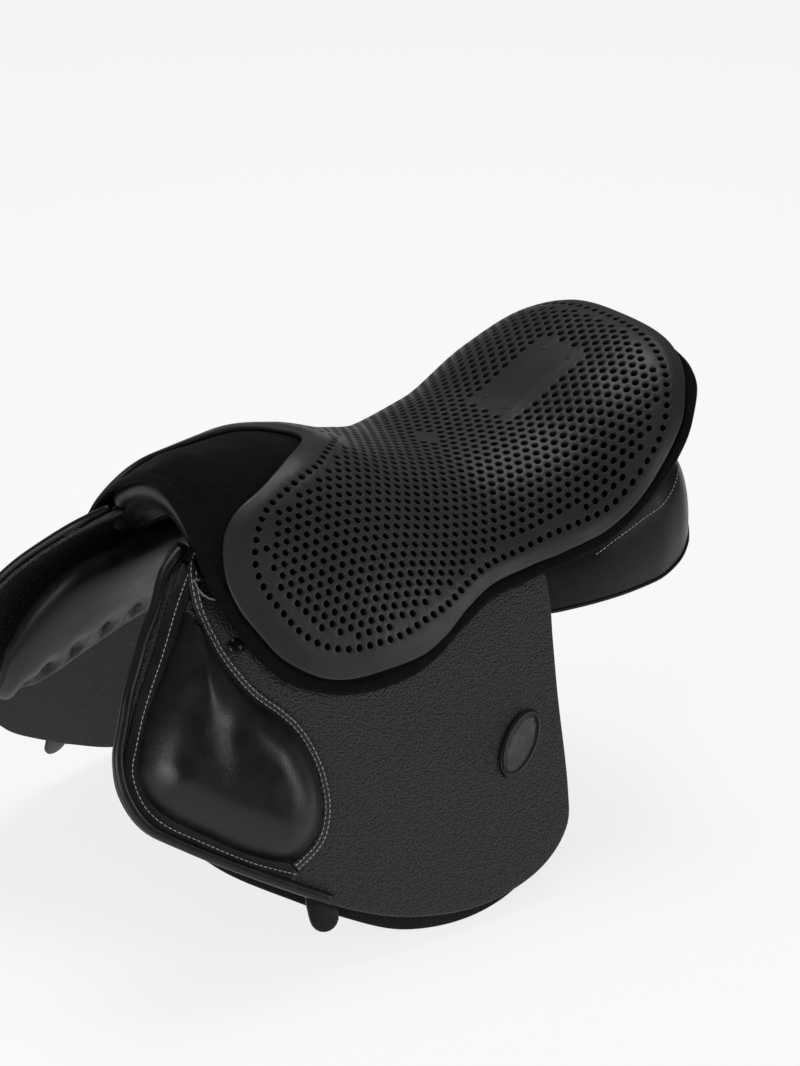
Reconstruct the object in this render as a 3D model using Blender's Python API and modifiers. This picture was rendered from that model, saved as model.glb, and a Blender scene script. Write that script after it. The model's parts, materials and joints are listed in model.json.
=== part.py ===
"""An English jumping saddle with a perforated gel seat saver laid over it.

Metres, +Z up. The pommel points to -Y and the horse's left side is +X. The origin is on the
midline, at the height where the panels bear on the horse or on a saddle rack, below the lowest
point of the seat.

Two smooth surfaces carry the whole design. The seat surface is the top of the saver, given by the
arc length s across the saddle from the midline and by y along it; every layer under it is the same
surface at a greater depth. The flap surface is the outer face of the flaps, given by y and z;
every layer behind it is the same surface at a greater inset towards the horse.
"""

import math

import bmesh
import bpy
import numpy as np
from mathutils import Matrix, Vector
from mathutils.geometry import delaunay_2d_cdt

MM = 0.001

# Seat surface: (y, value) pairs along the saddle, joined by a monotone cubic.
CREST = [(-0.290, 0.140), (-0.260, 0.160), (-0.220, 0.170), (-0.170, 0.170), (-0.120, 0.160),
         (-0.060, 0.138), (0.000, 0.1255), (0.067, 0.1345), (0.137, 0.168), (0.185, 0.187),
         (0.208, 0.190), (0.224, 0.180), (0.240, 0.156)]
SIDE_SLOPE = [(-0.29, 72), (-0.12, 72), (-0.04, 74), (0.05, 78), (0.12, 84), (0.24, 84)]
CROWN_WIDTH = [(-0.29, 0.085), (-0.20, 0.098), (-0.12, 0.115), (-0.04, 0.138), (0.05, 0.150),
               (0.12, 0.155), (0.18, 0.150), (0.24, 0.135)]
CROWN_POWER = [(-0.29, 1.1), (-0.20, 1.15), (-0.12, 1.4), (-0.04, 1.7), (0.05, 2.2),
               (0.12, 2.4), (0.24, 1.9)]
ARC_STEPS = 48

# Flap surface: half the width at z = 0, how it spreads downwards, and how the front turns in.
FLAP_X = 0.150
FLAP_SPREAD = 0.404
FLAP_TOP_PULL = 6.5
FLAP_TOP_Z = 0.032
FRONT_TURN = 0.095
FRONT_TURN_Y = -0.200
FRONT_TURN_SOFT = 0.040

# Depths of the layers under the seat surface, outer face and inner face.
GEL = (0.0, 5.0 * MM)
COVER = (6.8 * MM, 8.2 * MM)
LEATHER = (9.8 * MM, 11.8 * MM)
FOAM = (13.4 * MM, 21.2 * MM)
CROSS_WEB = (22.8 * MM, 23.6 * MM)
LONG_WEB = (25.0 * MM, 25.8 * MM)
TREE = (28.0 * MM, 35.6 * MM)
SPRING = (38.0 * MM, 39.2 * MM)
HEAD = (37.4 * MM, 40.0 * MM)
GULLET = (41.8 * MM, 43.4 * MM)

# Insets of the layers behind the flap surface, outer face and inner face.
FLAP = (0.0, 4.0 * MM)
STRAP = (7.5 * MM, 10.5 * MM)
GIRTH_WEB = (11.0 * MM, 12.3 * MM)
SWEAT = (14.0 * MM, 17.0 * MM)
POINT = (18.0 * MM, 24.0 * MM)
POCKET = (24.6 * MM, 26.2 * MM)
PANEL_INSET = 29.0 * MM

# The line where the flap folds up, and the gap the fold leaves in the solids.
FOLD_Z = -0.008
FOLD_GAP = 8.0 * MM
FOLD_OUT = 5.0 * MM
FOLD_ENDS = (-0.36, 0.0)

ROLL_HEIGHT = 26.0 * MM
ROLL_RIM = 2.0 * MM
ROLL_EDGE = 0.040
ROLL_GAP = 1.4 * FOLD_GAP

# Pieces that lie on the flap leave this gap to it; it is an inset, so it is negative.
ON_FLAP = -0.4 * MM

# Outlines of half a layer on the seat surface, (s, y), from the midline at the front to the
# midline at the back; the other half is its mirror image.
GEL_EDGE = [(0.0, -0.125), (0.029, -0.145), (0.061, -0.198), (0.081, -0.244), (0.108, -0.260),
            (0.135, -0.261), (0.165, -0.252), (0.200, -0.235), (0.225, -0.205), (0.234, -0.165),
            (0.228, -0.123), (0.2135, -0.0966), (0.190, -0.068), (0.172, -0.035), (0.166, 0.0),
            (0.168, 0.03), (0.171, 0.075), (0.168, 0.119), (0.146, 0.163), (0.122, 0.184),
            (0.095, 0.200), (0.055, 0.212), (0.0, 0.217)]
HEM_EDGE = [(0.0, -0.270), (0.040, -0.272), (0.077, -0.275), (0.101, -0.276), (0.119, -0.274),
            (0.142, -0.2695), (0.165, -0.263), (0.184, -0.256), (0.206, -0.2445), (0.222, -0.231),
            (0.236, -0.208), (0.245, -0.183), (0.248, -0.157), (0.242, -0.128), (0.229, -0.103),
            (0.205, -0.073), (0.1845, -0.038), (0.177, 0.0), (0.178, 0.03), (0.181, 0.075),
            (0.178, 0.125), (0.160, 0.166), (0.135, 0.192), (0.108, 0.211), (0.067, 0.226),
            (0.0, 0.233)]
SEAT_EDGE = [(0.0, -0.266), (0.045, -0.268), (0.080, -0.262), (0.088, -0.20), (0.088, -0.10),
             (0.100, -0.045), (0.140, -0.015), (0.168, 0.03), (0.170, 0.08), (0.166, 0.125),
             (0.146, 0.161), (0.118, 0.181), (0.065, 0.193), (0.0, 0.197)]
FOAM_EDGE = [(0.0, -0.225), (0.045, -0.222), (0.078, -0.18), (0.082, -0.10), (0.095, -0.03),
             (0.125, 0.03), (0.138, 0.09), (0.125, 0.14), (0.085, 0.185), (0.0, 0.20)]
TREE_EDGE = [(0.0, -0.250), (0.060, -0.252), (0.118, -0.250), (0.134, -0.235), (0.138, -0.19),
             (0.136, -0.11), (0.110, -0.055), (0.104, 0.0), (0.112, 0.06), (0.124, 0.12),
             (0.112, 0.165), (0.070, 0.196), (0.0, 0.206)]
TREE_HOLE = [(0.0, -0.155), (0.030, -0.150), (0.052, -0.10), (0.062, -0.03), (0.074, 0.04),
             (0.078, 0.10), (0.055, 0.148), (0.0, 0.165)]
SKIRT_EDGE = [(0.093, -0.235), (0.130, -0.243), (0.170, -0.244), (0.200, -0.232), (0.222, -0.205),
              (0.228, -0.165), (0.218, -0.115), (0.190, -0.070), (0.165, -0.040), (0.135, -0.034),
              (0.106, -0.054), (0.093, -0.10)]

# Strips of web and steel on the seat surface: from s to s and from y to y.
CROSS_WEB_AREA = (-0.098, 0.098, -0.045, 0.005)
LONG_WEB_AREA = (0.012, 0.050, -0.190, 0.175)
HEAD_AREA = (-0.112, 0.112, -0.245, -0.218)
GULLET_AREA = (-0.085, 0.085, -0.242, -0.205)
CANTLE_AREA = (-0.075, 0.075, 0.172, 0.190)
SPRING_AREA = (0.084, 0.100, -0.200, 0.100)

# Outlines on the flap surface, (y, z). The girth web is a strip: from y to y and from z to z.
GIRTH_WEB_AREA = (-0.258, -0.122, 0.012, 0.056)
TREE_POINT_EDGE = [(-0.270, 0.082), (-0.272, 0.040), (-0.262, 0.012), (-0.250, 0.008),
                   (-0.240, 0.020), (-0.234, 0.050), (-0.232, 0.082)]
POCKET_EDGE = [(-0.280, 0.060), (-0.282, 0.020), (-0.268, -0.006), (-0.244, -0.006),
               (-0.228, 0.020), (-0.226, 0.060)]
FLAP_EDGE = [(-0.262, 0.112), (-0.276, 0.116), (-0.296, 0.103), (-0.318, 0.085), (-0.336, 0.070),
             (-0.352, 0.052), (-0.363, 0.037), (-0.374, 0.015), (-0.384, -0.008), (-0.386, -0.035),
             (-0.374, -0.062), (-0.345, -0.083), (-0.300, -0.111), (-0.240, -0.144),
             (-0.178, -0.168), (-0.110, -0.178), (-0.050, -0.169), (-0.012, -0.146),
             (0.0, -0.115), (0.010, -0.050), (0.018, -0.006), (0.024, 0.026), (0.020, 0.050),
             (-0.030, 0.060), (-0.120, 0.060), (-0.205, 0.060), (-0.240, 0.075)]
SWEAT_EDGE = [(-0.230, 0.060), (-0.262, 0.050), (-0.305, 0.020), (-0.345, -0.030),
              (-0.352, -0.066), (-0.326, -0.094), (-0.303, -0.113), (-0.262, -0.138),
              (-0.235, -0.153), (-0.178, -0.178), (-0.115, -0.186), (-0.060, -0.176),
              (-0.024, -0.150), (-0.014, -0.10), (-0.010, -0.03), (-0.020, 0.040),
              (-0.060, 0.058), (-0.150, 0.060)]
ROLL_EDGE_LINE = [(-0.289, 0.086), (-0.287, 0.060), (-0.279, 0.035), (-0.264, 0.012),
                  (-0.242, -0.006), (-0.229, -0.030), (-0.226, -0.060), (-0.236, -0.090),
                  (-0.262, -0.106), (-0.300, -0.100), (-0.338, -0.078), (-0.362, -0.046),
                  (-0.370, -0.012), (-0.358, 0.014), (-0.344, 0.033), (-0.328, 0.051),
                  (-0.312, 0.069), (-0.299, 0.083)]

STRAP_WIDTH = 0.025
STRAP_ABOVE_PIVOT = 0.012
STRAP_PIVOT_Z = 0.028
STRAP_SIGHT = 0.1
STRAPS = {"front": (-0.244, -0.164), "middle": (-0.190, -0.158), "rear": (-0.136, -0.158)}

BADGE_CENTRE = (-0.038, -0.072)
BADGE_LONG = 0.029
BADGE_SHORT = 0.015
BADGE_TILT = math.radians(42.0)
BADGE_THICKNESS = 3.0 * MM
BADGE_POINTS = 20

NAIL_AT = (-0.2665, 0.052)
NAIL_RADIUS = 6.5 * MM
# The nail's section: share of its radius and height.
NAIL_PROFILE = [(0.0, 0.0), (1.0, 0.0), (1.0, 1.2 * MM), (0.72, 2.6 * MM), (0.30, 3.2 * MM),
                (0.0, 3.3 * MM)]
DEE_AT = (-0.266, 0.094)
DEE_WIDTH = 0.022
DEE_DROP = 0.019
DEE_WIRE = 1.25 * MM
DEE_STAND_OFF = 3.3 * MM
CHAPE_WIDTH = 0.012
CHAPE_GAP = 0.45 * MM
CHAPE_SKIN = 1.1 * MM
CHAPE_TAIL = 0.020
CHAPE_NECK = 0.006

BAR_AT = (0.128, -0.150)
BAR_LENGTH = 0.074
BAR_HEIGHT = 0.012
BAR_OUTER = (13.4 * MM, 18.0 * MM)
BAR_INNER = (23.1 * MM, 25.3 * MM)
BAR_BEND = 0.008
BAR_FOOT = 0.006
BAR_CHAMFER = 0.003
CATCH_LENGTH = 0.006
CATCH_GAP = 0.6 * MM
CATCH_THINNER = 1.0 * MM

FACING_Y = -0.2705
FACING_THICKNESS = 2.4 * MM
FACING_REACH = 0.056
FACING_DEPTH = (12.0 * MM, 44.0 * MM)
FACING_STEPS = 14

# Panel sections: y, top edge by the gullet (x, z), shoulder (x, z), lower edge (x or None to
# follow the flap surface, z) and thickness.
PANEL = [
    (0.2035, (0.070, 0.080), (0.088, 0.082), (0.094, 0.052), 0.020),
    (0.194, (0.052, 0.104), (0.118, 0.108), (0.112, 0.024), 0.055),
    (0.176, (0.044, 0.116), (0.144, 0.122), (0.120, 0.010), 0.070),
    (0.146, (0.040, 0.110), (0.154, 0.116), (0.127, 0.004), 0.072),
    (0.100, (0.038, 0.090), (0.150, 0.096), (0.130, 0.003), 0.062),
    (0.040, (0.036, 0.066), (0.124, 0.076), (0.128, 0.005), 0.046),
    (-0.020, (0.036, 0.062), (0.096, 0.074), (None, 0.020), 0.034),
    (-0.090, (0.038, 0.078), (0.092, 0.078), (None, 0.006), 0.028),
    (-0.150, (0.042, 0.092), (0.086, 0.076), (None, -0.004), 0.024),
    (-0.210, (0.046, 0.092), (0.080, 0.066), (None, -0.018), 0.022),
    (-0.260, (0.050, 0.086), (0.074, 0.058), (None, -0.034), 0.022),
    (-0.300, (0.058, 0.074), (0.078, 0.044), (None, -0.050), 0.020),
    (-0.335, (0.074, 0.040), (0.086, 0.014), (None, -0.058), 0.016),
    (-0.355, (0.086, 0.000), (0.093, -0.014), (None, -0.046), 0.010),
]
PANEL_AROUND = 8
PANEL_SQUARENESS = 3.4

# Spacing of the points along outlines, and the cells of the points inside them.
POINT_STEP = 0.018
SAVER_STEP = 0.020
PLATE_STEP = 0.024
SEAT_STEP = 0.028
TREE_STEP = 0.031
BADGE_CELL = (0.014, 0.014)
ROLL_CELL = (0.018, 0.018)
SAVER_CELL = (0.022, 0.024)
SEAT_CELL = (0.022, 0.030)
PLATE_CELL = (0.024, 0.030)
TREE_CELL = (0.026, 0.034)
WEB_CELL = (0.030, 0.030)
FOAM_CELL = (0.030, 0.034)
FLAP_CELL = (0.032, 0.032)
HALF_TURN = 8
SLOPE_STEP = 0.002
WELD = 0.00005
SHARP = math.radians(40)

# Finishes: colour, roughness and metallic value.
MATERIALS = {
    "gel": ((0.035, 0.035, 0.038), 0.42, 0.0),
    "cover_fabric": ((0.010, 0.010, 0.011), 0.85, 0.0),
    "black_leather": ((0.014, 0.014, 0.015), 0.45, 0.0),
    "grained_leather": ((0.018, 0.018, 0.019), 0.55, 0.0),
    "panel_leather": ((0.016, 0.016, 0.017), 0.40, 0.0),
    "foam": ((0.55, 0.50, 0.36), 0.95, 0.0),
    "laminated_wood": ((0.42, 0.27, 0.14), 0.60, 0.0),
    "spring_steel": ((0.35, 0.36, 0.38), 0.35, 1.0),
    "bright_steel": ((0.62, 0.62, 0.63), 0.20, 1.0),
    "webbing": ((0.50, 0.45, 0.36), 0.90, 0.0),
}


def monotone(value, table):
    """Reads a smooth curve through (position, value) pairs that never overshoots them."""
    xs = np.array([row[0] for row in table], float)
    ys = np.array([row[1] for row in table], float)
    step = np.diff(xs)
    slope = np.diff(ys) / step
    tangent = np.zeros(len(xs))
    tangent[0] = slope[0]
    tangent[-1] = slope[-1]
    for i in range(1, len(xs) - 1):
        if slope[i - 1] * slope[i] > 0:
            left = 2 * step[i] + step[i - 1]
            right = step[i] + 2 * step[i - 1]
            tangent[i] = (left + right) / (left / slope[i - 1] + right / slope[i])
    value = min(max(value, xs[0]), xs[-1])
    i = int(min(max(np.searchsorted(xs, value) - 1, 0), len(xs) - 2))
    t = (value - xs[i]) / step[i]
    return float(ys[i] * (1 + 2 * t) * (1 - t) ** 2 + tangent[i] * step[i] * t * (1 - t) ** 2
                 + ys[i + 1] * t * t * (3 - 2 * t) + tangent[i + 1] * step[i] * t * t * (t - 1))


def seat_top(s, y):
    """A point of the seat surface: the slope grows with the arc length from the midline."""
    steepest = math.radians(monotone(y, SIDE_SLOPE))
    width = monotone(y, CROWN_WIDTH)
    power = monotone(y, CROWN_POWER)
    arc = (np.arange(ARC_STEPS) + 0.5) / ARC_STEPS * abs(s)
    slope = steepest * (1 - np.exp(-(arc / width) ** power))
    across = float(np.cos(slope).mean()) * abs(s)
    drop = float(np.sin(slope).mean()) * abs(s)
    return Vector((math.copysign(across, s), y, monotone(y, CREST) - drop))


def seat_normal(s, y):
    """The outward normal of the seat surface."""
    h = SLOPE_STEP
    along = seat_top(s, y + h) - seat_top(s, y - h)
    across = seat_top(s + h, y) - seat_top(s - h, y)
    return across.cross(along).normalized()


def seat_point(s, y, depth):
    """A point at a depth under the seat surface."""
    return seat_top(s, y) - seat_normal(s, y) * depth


def flap_x(y, z):
    """Distance of the flap's outer face from the midline."""
    lead = FRONT_TURN_Y - y
    turn = FRONT_TURN * (lead + math.hypot(lead, FRONT_TURN_SOFT))
    return FLAP_X - FLAP_SPREAD * z - FLAP_TOP_PULL * max(0.0, z - FLAP_TOP_Z) ** 2 - turn


def flap_normal(side, y, z):
    """The normal of the flap surface, away from the horse."""
    h = SLOPE_STEP
    by_y = (flap_x(y + h, z) - flap_x(y - h, z)) / (2 * h)
    by_z = (flap_x(y, z + h) - flap_x(y, z - h)) / (2 * h)
    return Vector((side, -by_y, -by_z)).normalized()


def flap_point(side, y, z, inset):
    """A point at an inset behind the flap surface, on the left (side 1) or the right (side -1)."""
    outer = Vector((side * flap_x(y, z), y, z))
    return outer - flap_normal(side, y, z) * inset


def smooth_loop(points, spacing):
    """A closed Catmull-Rom curve through the points, with a vertex about every spacing."""
    out = []
    count = len(points)
    for i in range(count):
        p0, p1, p2, p3 = (Vector(points[(i + k) % count]) for k in (-1, 0, 1, 2))
        steps = max(1, round((p2 - p1).length / spacing))
        for k in range(steps):
            t = k / steps
            out.append(0.5 * ((2 * p1) + (p2 - p0) * t + (2 * p0 - 5 * p1 + 4 * p2 - p3) * t ** 2
                              + (3 * p1 - p0 - 3 * p2 + p3) * t ** 3))
    return out


def mirrored(half):
    """A whole outline from its right half, which starts and ends on the midline."""
    return list(half) + [(-s, y) for s, y in reversed(half[1:-1])]


def clipped(loop, limit, above):
    """The part of a loop above or below a height, which is its second coordinate."""
    out = []
    sign = 1 if above else -1
    for i, here in enumerate(loop):
        after = loop[(i + 1) % len(loop)]
        here_in = sign * (here[1] - limit) >= 0
        after_in = sign * (after[1] - limit) >= 0
        if here_in:
            out.append(Vector((here[0], here[1])))
        if here_in != after_in:
            t = (limit - here[1]) / (after[1] - here[1])
            out.append(Vector((here[0] + (after[0] - here[0]) * t, limit)))
    return out


def evened(loop, spacing):
    """A loop whose long straight edges are divided, so that they follow a curved surface."""
    out = []
    for i, here in enumerate(loop):
        after = loop[(i + 1) % len(loop)]
        steps = max(1, math.ceil((Vector(after) - Vector(here)).length / spacing))
        out += [Vector(here).lerp(Vector(after), k / steps) for k in range(steps)]
    return out


def even_odd(point, loops):
    """Whether a point is inside an outline with holes."""
    inside = False
    for loop in loops:
        for i, a in enumerate(loop):
            b = loop[i - 1]
            if (a[1] > point[1]) != (b[1] > point[1]):
                if point[0] < (b[0] - a[0]) * (point[1] - a[1]) / (b[1] - a[1]) + a[0]:
                    inside = not inside
    return inside


def edge_distance(point, loops):
    """Distance from a point to the nearest edge of the loops."""
    best = 1.0
    p = Vector(point)
    for loop in loops:
        for i, a in enumerate(loop):
            b = Vector(loop[i - 1])
            a = Vector(a)
            along = b - a
            t = min(max((p - a).dot(along) / max(along.length_squared, 1e-12), 0.0), 1.0)
            best = min(best, (p - a - along * t).length)
    return best


def flat_mesh(loops, cell):
    """Triangles that fill the loops, with inner points on a lattice of the cell's size."""
    points = []
    edges = []
    for loop in loops:
        first = len(points)
        points += [Vector((p[0], p[1])) for p in loop]
        edges += [(first + i, first + (i + 1) % len(loop)) for i in range(len(loop))]
    us = [p[0] for p in points]
    vs = [p[1] for p in points]
    keep_off = 0.45 * min(cell)
    columns = range(math.floor(min(us) / cell[0]), math.ceil(max(us) / cell[0]) + 1)
    rows = range(math.floor(min(vs) / cell[1]), math.ceil(max(vs) / cell[1]) + 1)
    for i in columns:
        for j in rows:
            spot = (i * cell[0], j * cell[1])
            if even_odd(spot, loops) and edge_distance(spot, loops) > keep_off:
                points.append(Vector(spot))
    verts, _, faces, _, _, _ = delaunay_2d_cdt(points, edges, [], 0, 1e-7)
    kept = []
    for face in faces:
        centre = sum((verts[i] for i in face), Vector((0.0, 0.0))) / len(face)
        if even_odd(centre, loops):
            kept.append(list(face))
    return verts, kept


def start_scene():
    """Empties the scene and makes the collection of the parts."""
    for item in list(bpy.data.objects):
        bpy.data.objects.remove(item)
    parts = bpy.data.collections.new("english_saddle")
    bpy.context.scene.collection.children.link(parts)
    return parts


def make_material(name):
    """A Principled material with the finish's colour, roughness and metallic value."""
    material = bpy.data.materials.get(name)
    if material:
        return material
    colour, roughness, metallic = MATERIALS[name]
    material = bpy.data.materials.new(name)
    material.use_nodes = True
    shader = material.node_tree.nodes["Principled BSDF"]
    shader.inputs["Base Color"].default_value = (*colour, 1.0)
    shader.inputs["Roughness"].default_value = roughness
    shader.inputs["Metallic"].default_value = metallic
    return material


class Workshop:
    """Adds finished objects to the parts collection."""

    def __init__(self):
        """Starts with an empty scene."""
        self.parts = start_scene()

    def add(self, name, mesh, finish, parent=None):
        """Links a mesh as a node. Under a parent, its mesh moves to the parent's origin."""
        item = bpy.data.objects.new(name, mesh)
        self.parts.objects.link(item)
        mesh.materials.append(make_material(finish))
        if parent is not None:
            mesh.transform(parent.matrix_world.inverted())
            item.parent = parent
        return item

    def pivot(self, name, place):
        """An empty on a joint's axis, which carries the pieces that turn about it."""
        empty = bpy.data.objects.new(name, None)
        empty.location = place
        self.parts.objects.link(empty)
        bpy.context.view_layer.update()
        return empty

    def sheet(self, name, finish, loops, place, faces, cell, parent=None, flip=False):
        """A layer of even thickness: an open surface at its outer face, made solid inwards."""
        verts, triangles = flat_mesh(loops, cell)
        mesh = bpy.data.meshes.new(name)
        mesh.from_pydata([place(v[0], v[1], faces[0]) for v in verts], [], triangles)
        if flip:
            mesh.flip_normals()
        item = self.add(name, mesh, finish, parent)
        shell = item.modifiers.new("thickness", "SOLIDIFY")
        shell.thickness = faces[1] - faces[0]
        shell.offset = -1.0
        return item

    def pillow(self, name, finish, loops, place, base, cell, parent=None, flip=False):
        """A stuffed form: an open surface at its base, made solid outwards, fuller inside."""
        verts, triangles = flat_mesh(loops, cell)
        mesh = bpy.data.meshes.new(name)
        mesh.from_pydata([place(v[0], v[1], base) for v in verts], [], triangles)
        if flip:
            mesh.flip_normals()
        item = self.add(name, mesh, finish, parent)
        fullness = item.vertex_groups.new(name="fullness")
        for i, vert in enumerate(verts):
            reach = min(edge_distance(vert, loops) / ROLL_EDGE, 1.0)
            fullness.add([i], 1 - (1 - reach) ** 2, "REPLACE")
        shell = item.modifiers.new("stuffing", "SOLIDIFY")
        shell.thickness = ROLL_HEIGHT + ROLL_RIM
        shell.offset = 1.0
        shell.vertex_group = "fullness"
        shell.thickness_vertex_group = ROLL_RIM / (ROLL_HEIGHT + ROLL_RIM)
        return item

    def slab(self, name, finish, loops, depth, matrix, parent=None):
        """A flat outline, with holes, extruded to a thickness about its own plane."""
        curve = bpy.data.curves.new(name, "CURVE")
        curve.dimensions = "2D"
        curve.fill_mode = "BOTH"
        curve.extrude = depth / 2
        for loop in loops:
            spline = curve.splines.new("POLY")
            spline.points.add(len(loop) - 1)
            for point, spot in zip(spline.points, loop):
                point.co = (spot[0], spot[1], 0, 1)
            spline.use_cyclic_u = True
        return self.meshed(name, curve, finish, matrix, parent)

    def wire(self, name, finish, points, radius, closed, matrix, parent=None):
        """A round wire along a path."""
        curve = bpy.data.curves.new(name, "CURVE")
        curve.dimensions = "3D"
        curve.bevel_depth = radius
        curve.bevel_resolution = 2
        curve.use_fill_caps = True
        spline = curve.splines.new("POLY")
        spline.points.add(len(points) - 1)
        for point, spot in zip(spline.points, points):
            point.co = (*spot, 1)
        spline.use_cyclic_u = closed
        return self.meshed(name, curve, finish, matrix, parent)

    def meshed(self, name, curve, finish, matrix, parent):
        """Turns a curve into a welded mesh and adds it as a node."""
        holder = bpy.data.objects.new(name + "_path", curve)
        self.parts.objects.link(holder)
        holder.matrix_world = matrix
        bpy.context.view_layer.update()
        evaluated = holder.evaluated_get(bpy.context.evaluated_depsgraph_get())
        mesh = bpy.data.meshes.new_from_object(evaluated)
        mesh.name = name
        bpy.data.objects.remove(holder)
        cage = bmesh.new()
        cage.from_mesh(mesh)
        bmesh.ops.remove_doubles(cage, verts=cage.verts, dist=WELD)
        bmesh.ops.recalc_face_normals(cage, faces=cage.faces)
        cage.to_mesh(mesh)
        cage.free()
        mesh.transform(matrix)
        mesh.materials.clear()
        return self.add(name, mesh, finish, parent)


def side_place(side):
    """The place function of a layer on one side's flap surface."""
    return lambda y, z, inset: flap_point(side, y, z, inset)


def suffix(side):
    """The horse's left is at +X."""
    return "left" if side > 0 else "right"


def basis(origin, along, up):
    """A frame with x along, y up and z towards along x up."""
    x = along.normalized()
    z = x.cross(up).normalized()
    y = z.cross(x)
    matrix = Matrix((x, y, z)).transposed().to_4x4()
    matrix.translation = origin
    return matrix


def make_saver(shop):
    """The gel pad and the fabric cover that it is bonded to, which lift off together."""
    gel = [smooth_loop(mirrored(GEL_EDGE), SAVER_STEP)]
    hem = [smooth_loop(mirrored(HEM_EDGE), SAVER_STEP)]
    shop.sheet("saver_gel", "gel", gel, seat_point, GEL, SAVER_CELL)
    shop.sheet("saver_cover", "cover_fabric", hem, seat_point, COVER, SAVER_CELL)


def make_seat(shop):
    """Seat leather, foam and the webs stretched over the tree."""
    seat = [smooth_loop(mirrored(SEAT_EDGE), SEAT_STEP)]
    foam = [smooth_loop(mirrored(FOAM_EDGE), SEAT_STEP)]
    shop.sheet("seat_leather", "black_leather", seat, seat_point, LEATHER, SEAT_CELL)
    shop.sheet("seat_foam", "foam", foam, seat_point, FOAM, FOAM_CELL)
    cross = strip(CROSS_WEB_AREA, SEAT_STEP)
    shop.sheet("web_cross", "webbing", [cross], seat_point, CROSS_WEB, WEB_CELL)
    for side in (1, -1):
        long_web = strip(LONG_WEB_AREA, TREE_STEP, side)
        shop.sheet("web_long_" + suffix(side), "webbing", [long_web], seat_point, LONG_WEB,
                   FOAM_CELL)


def strip(area, spacing, side=1):
    """A rectangle as a loop with points along its edges, mirrored where the side is -1."""
    u0, u1, v0, v1 = area
    left, right = min(side * u0, side * u1), max(side * u0, side * u1)
    across = max(1, round((right - left) / spacing))
    along = max(1, round((v1 - v0) / spacing))
    loop = [Vector((left + (right - left) * i / across, v0)) for i in range(across)]
    loop += [Vector((right, v0 + (v1 - v0) * i / along)) for i in range(along)]
    loop += [Vector((right + (left - right) * i / across, v1)) for i in range(across)]
    loop += [Vector((left, v1 + (v0 - v1) * i / along)) for i in range(along)]
    return loop


def make_tree(shop):
    """The laminated tree with its steel plates, springs and points."""
    outer = smooth_loop(mirrored(TREE_EDGE), TREE_STEP)
    hole = smooth_loop(mirrored(TREE_HOLE), TREE_STEP)
    shop.sheet("tree_frame", "laminated_wood", [outer, hole], seat_point, TREE, TREE_CELL)
    for label, area, depths in (("head_plate", HEAD_AREA, HEAD), ("gullet_plate", GULLET_AREA, GULLET),
                                ("cantle_plate", CANTLE_AREA, HEAD)):
        shop.sheet(label, "spring_steel", [strip(area, PLATE_STEP)], seat_point, depths, PLATE_CELL)
    for side in (1, -1):
        spring = strip(SPRING_AREA, TREE_STEP, side)
        shop.sheet("spring_steel_" + suffix(side), "spring_steel", [spring], seat_point, SPRING,
                   FOAM_CELL)
        point = smooth_loop(TREE_POINT_EDGE, POINT_STEP)
        shop.sheet("tree_point_" + suffix(side), "laminated_wood", [point], side_place(side),
                   POINT, ROLL_CELL, flip=side < 0)


def make_facing(shop):
    """The leather facing that closes the front of the pommel, an arch across the saddle."""
    y = FACING_Y
    arc = [FACING_REACH * (2 * i / FACING_STEPS - 1) for i in range(FACING_STEPS + 1)]
    outer = [seat_point(s, y, FACING_DEPTH[0]) for s in arc]
    inner = [seat_point(s, y, FACING_DEPTH[1]) for s in reversed(arc)]
    loop = [(p.x, p.z) for p in outer + inner]
    frame = Matrix.Rotation(math.pi / 2, 4, "X")
    frame.translation = (0.0, y, 0.0)
    shop.slab("pommel_facing", "black_leather", [loop], FACING_THICKNESS, frame)


def bar_frame(side):
    """Frame of a stirrup bar: x back along the saddle, y up across it, z outwards or inwards."""
    s, y = BAR_AT
    reach = BAR_LENGTH / 2 + CATCH_LENGTH + BAR_HEIGHT
    front = seat_top(side * s, y - BAR_LENGTH / 2)
    back = seat_top(side * s, y + reach)
    along = (back - front).normalized()
    outward = seat_normal(side * s, y)
    outward = (outward - along * outward.dot(along)).normalized()
    up = outward.cross(along) if side > 0 else along.cross(outward)
    origin = front + along * BAR_LENGTH / 2
    return origin, along, outward, up.normalized()


def make_stirrup_bar(shop, side):
    """A forged bar: the outer leg carries the stirrup leather, the inner plate is on the tree."""
    origin, along, outward, up = bar_frame(side)
    half = BAR_LENGTH / 2
    out0, out1 = -BAR_OUTER[0], -BAR_OUTER[1]
    in0, in1 = -BAR_INNER[0], -BAR_INNER[1]
    foot = half + BAR_FOOT
    bend = BAR_BEND - half
    loop = [(-half, out0 - BAR_CHAMFER), (BAR_CHAMFER - half, out0), (half - BAR_CHAMFER, out0),
            (half, out0 - BAR_CHAMFER), (half, out1), (bend, out1), (bend, in0), (foot, in0),
            (foot, in1), (-half, in1)]
    matrix = Matrix((along, outward, along.cross(outward))).transposed().to_4x4()
    matrix.translation = origin
    shop.slab("stirrup_bar_" + suffix(side), "bright_steel", [loop], BAR_HEIGHT, matrix)
    radius = BAR_HEIGHT / 2 - CATCH_GAP
    hinge = origin + along * (half + radius + CATCH_GAP) - outward * sum(BAR_OUTER) / 2
    pivot = shop.pivot("catch_pivot_" + suffix(side), hinge)
    arc = []
    for centre, start in ((CATCH_LENGTH, -math.pi / 2), (0.0, math.pi / 2)):
        for k in range(HALF_TURN + 1):
            angle = start + math.pi * k / HALF_TURN
            arc.append((centre + radius * math.cos(angle), radius * math.sin(angle)))
    frame = Matrix((along, up, along.cross(up))).transposed().to_4x4()
    frame.translation = hinge
    thickness = BAR_OUTER[1] - BAR_OUTER[0] - CATCH_THINNER
    shop.slab("bar_catch_" + suffix(side), "bright_steel", [arc], thickness, frame, pivot)


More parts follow.
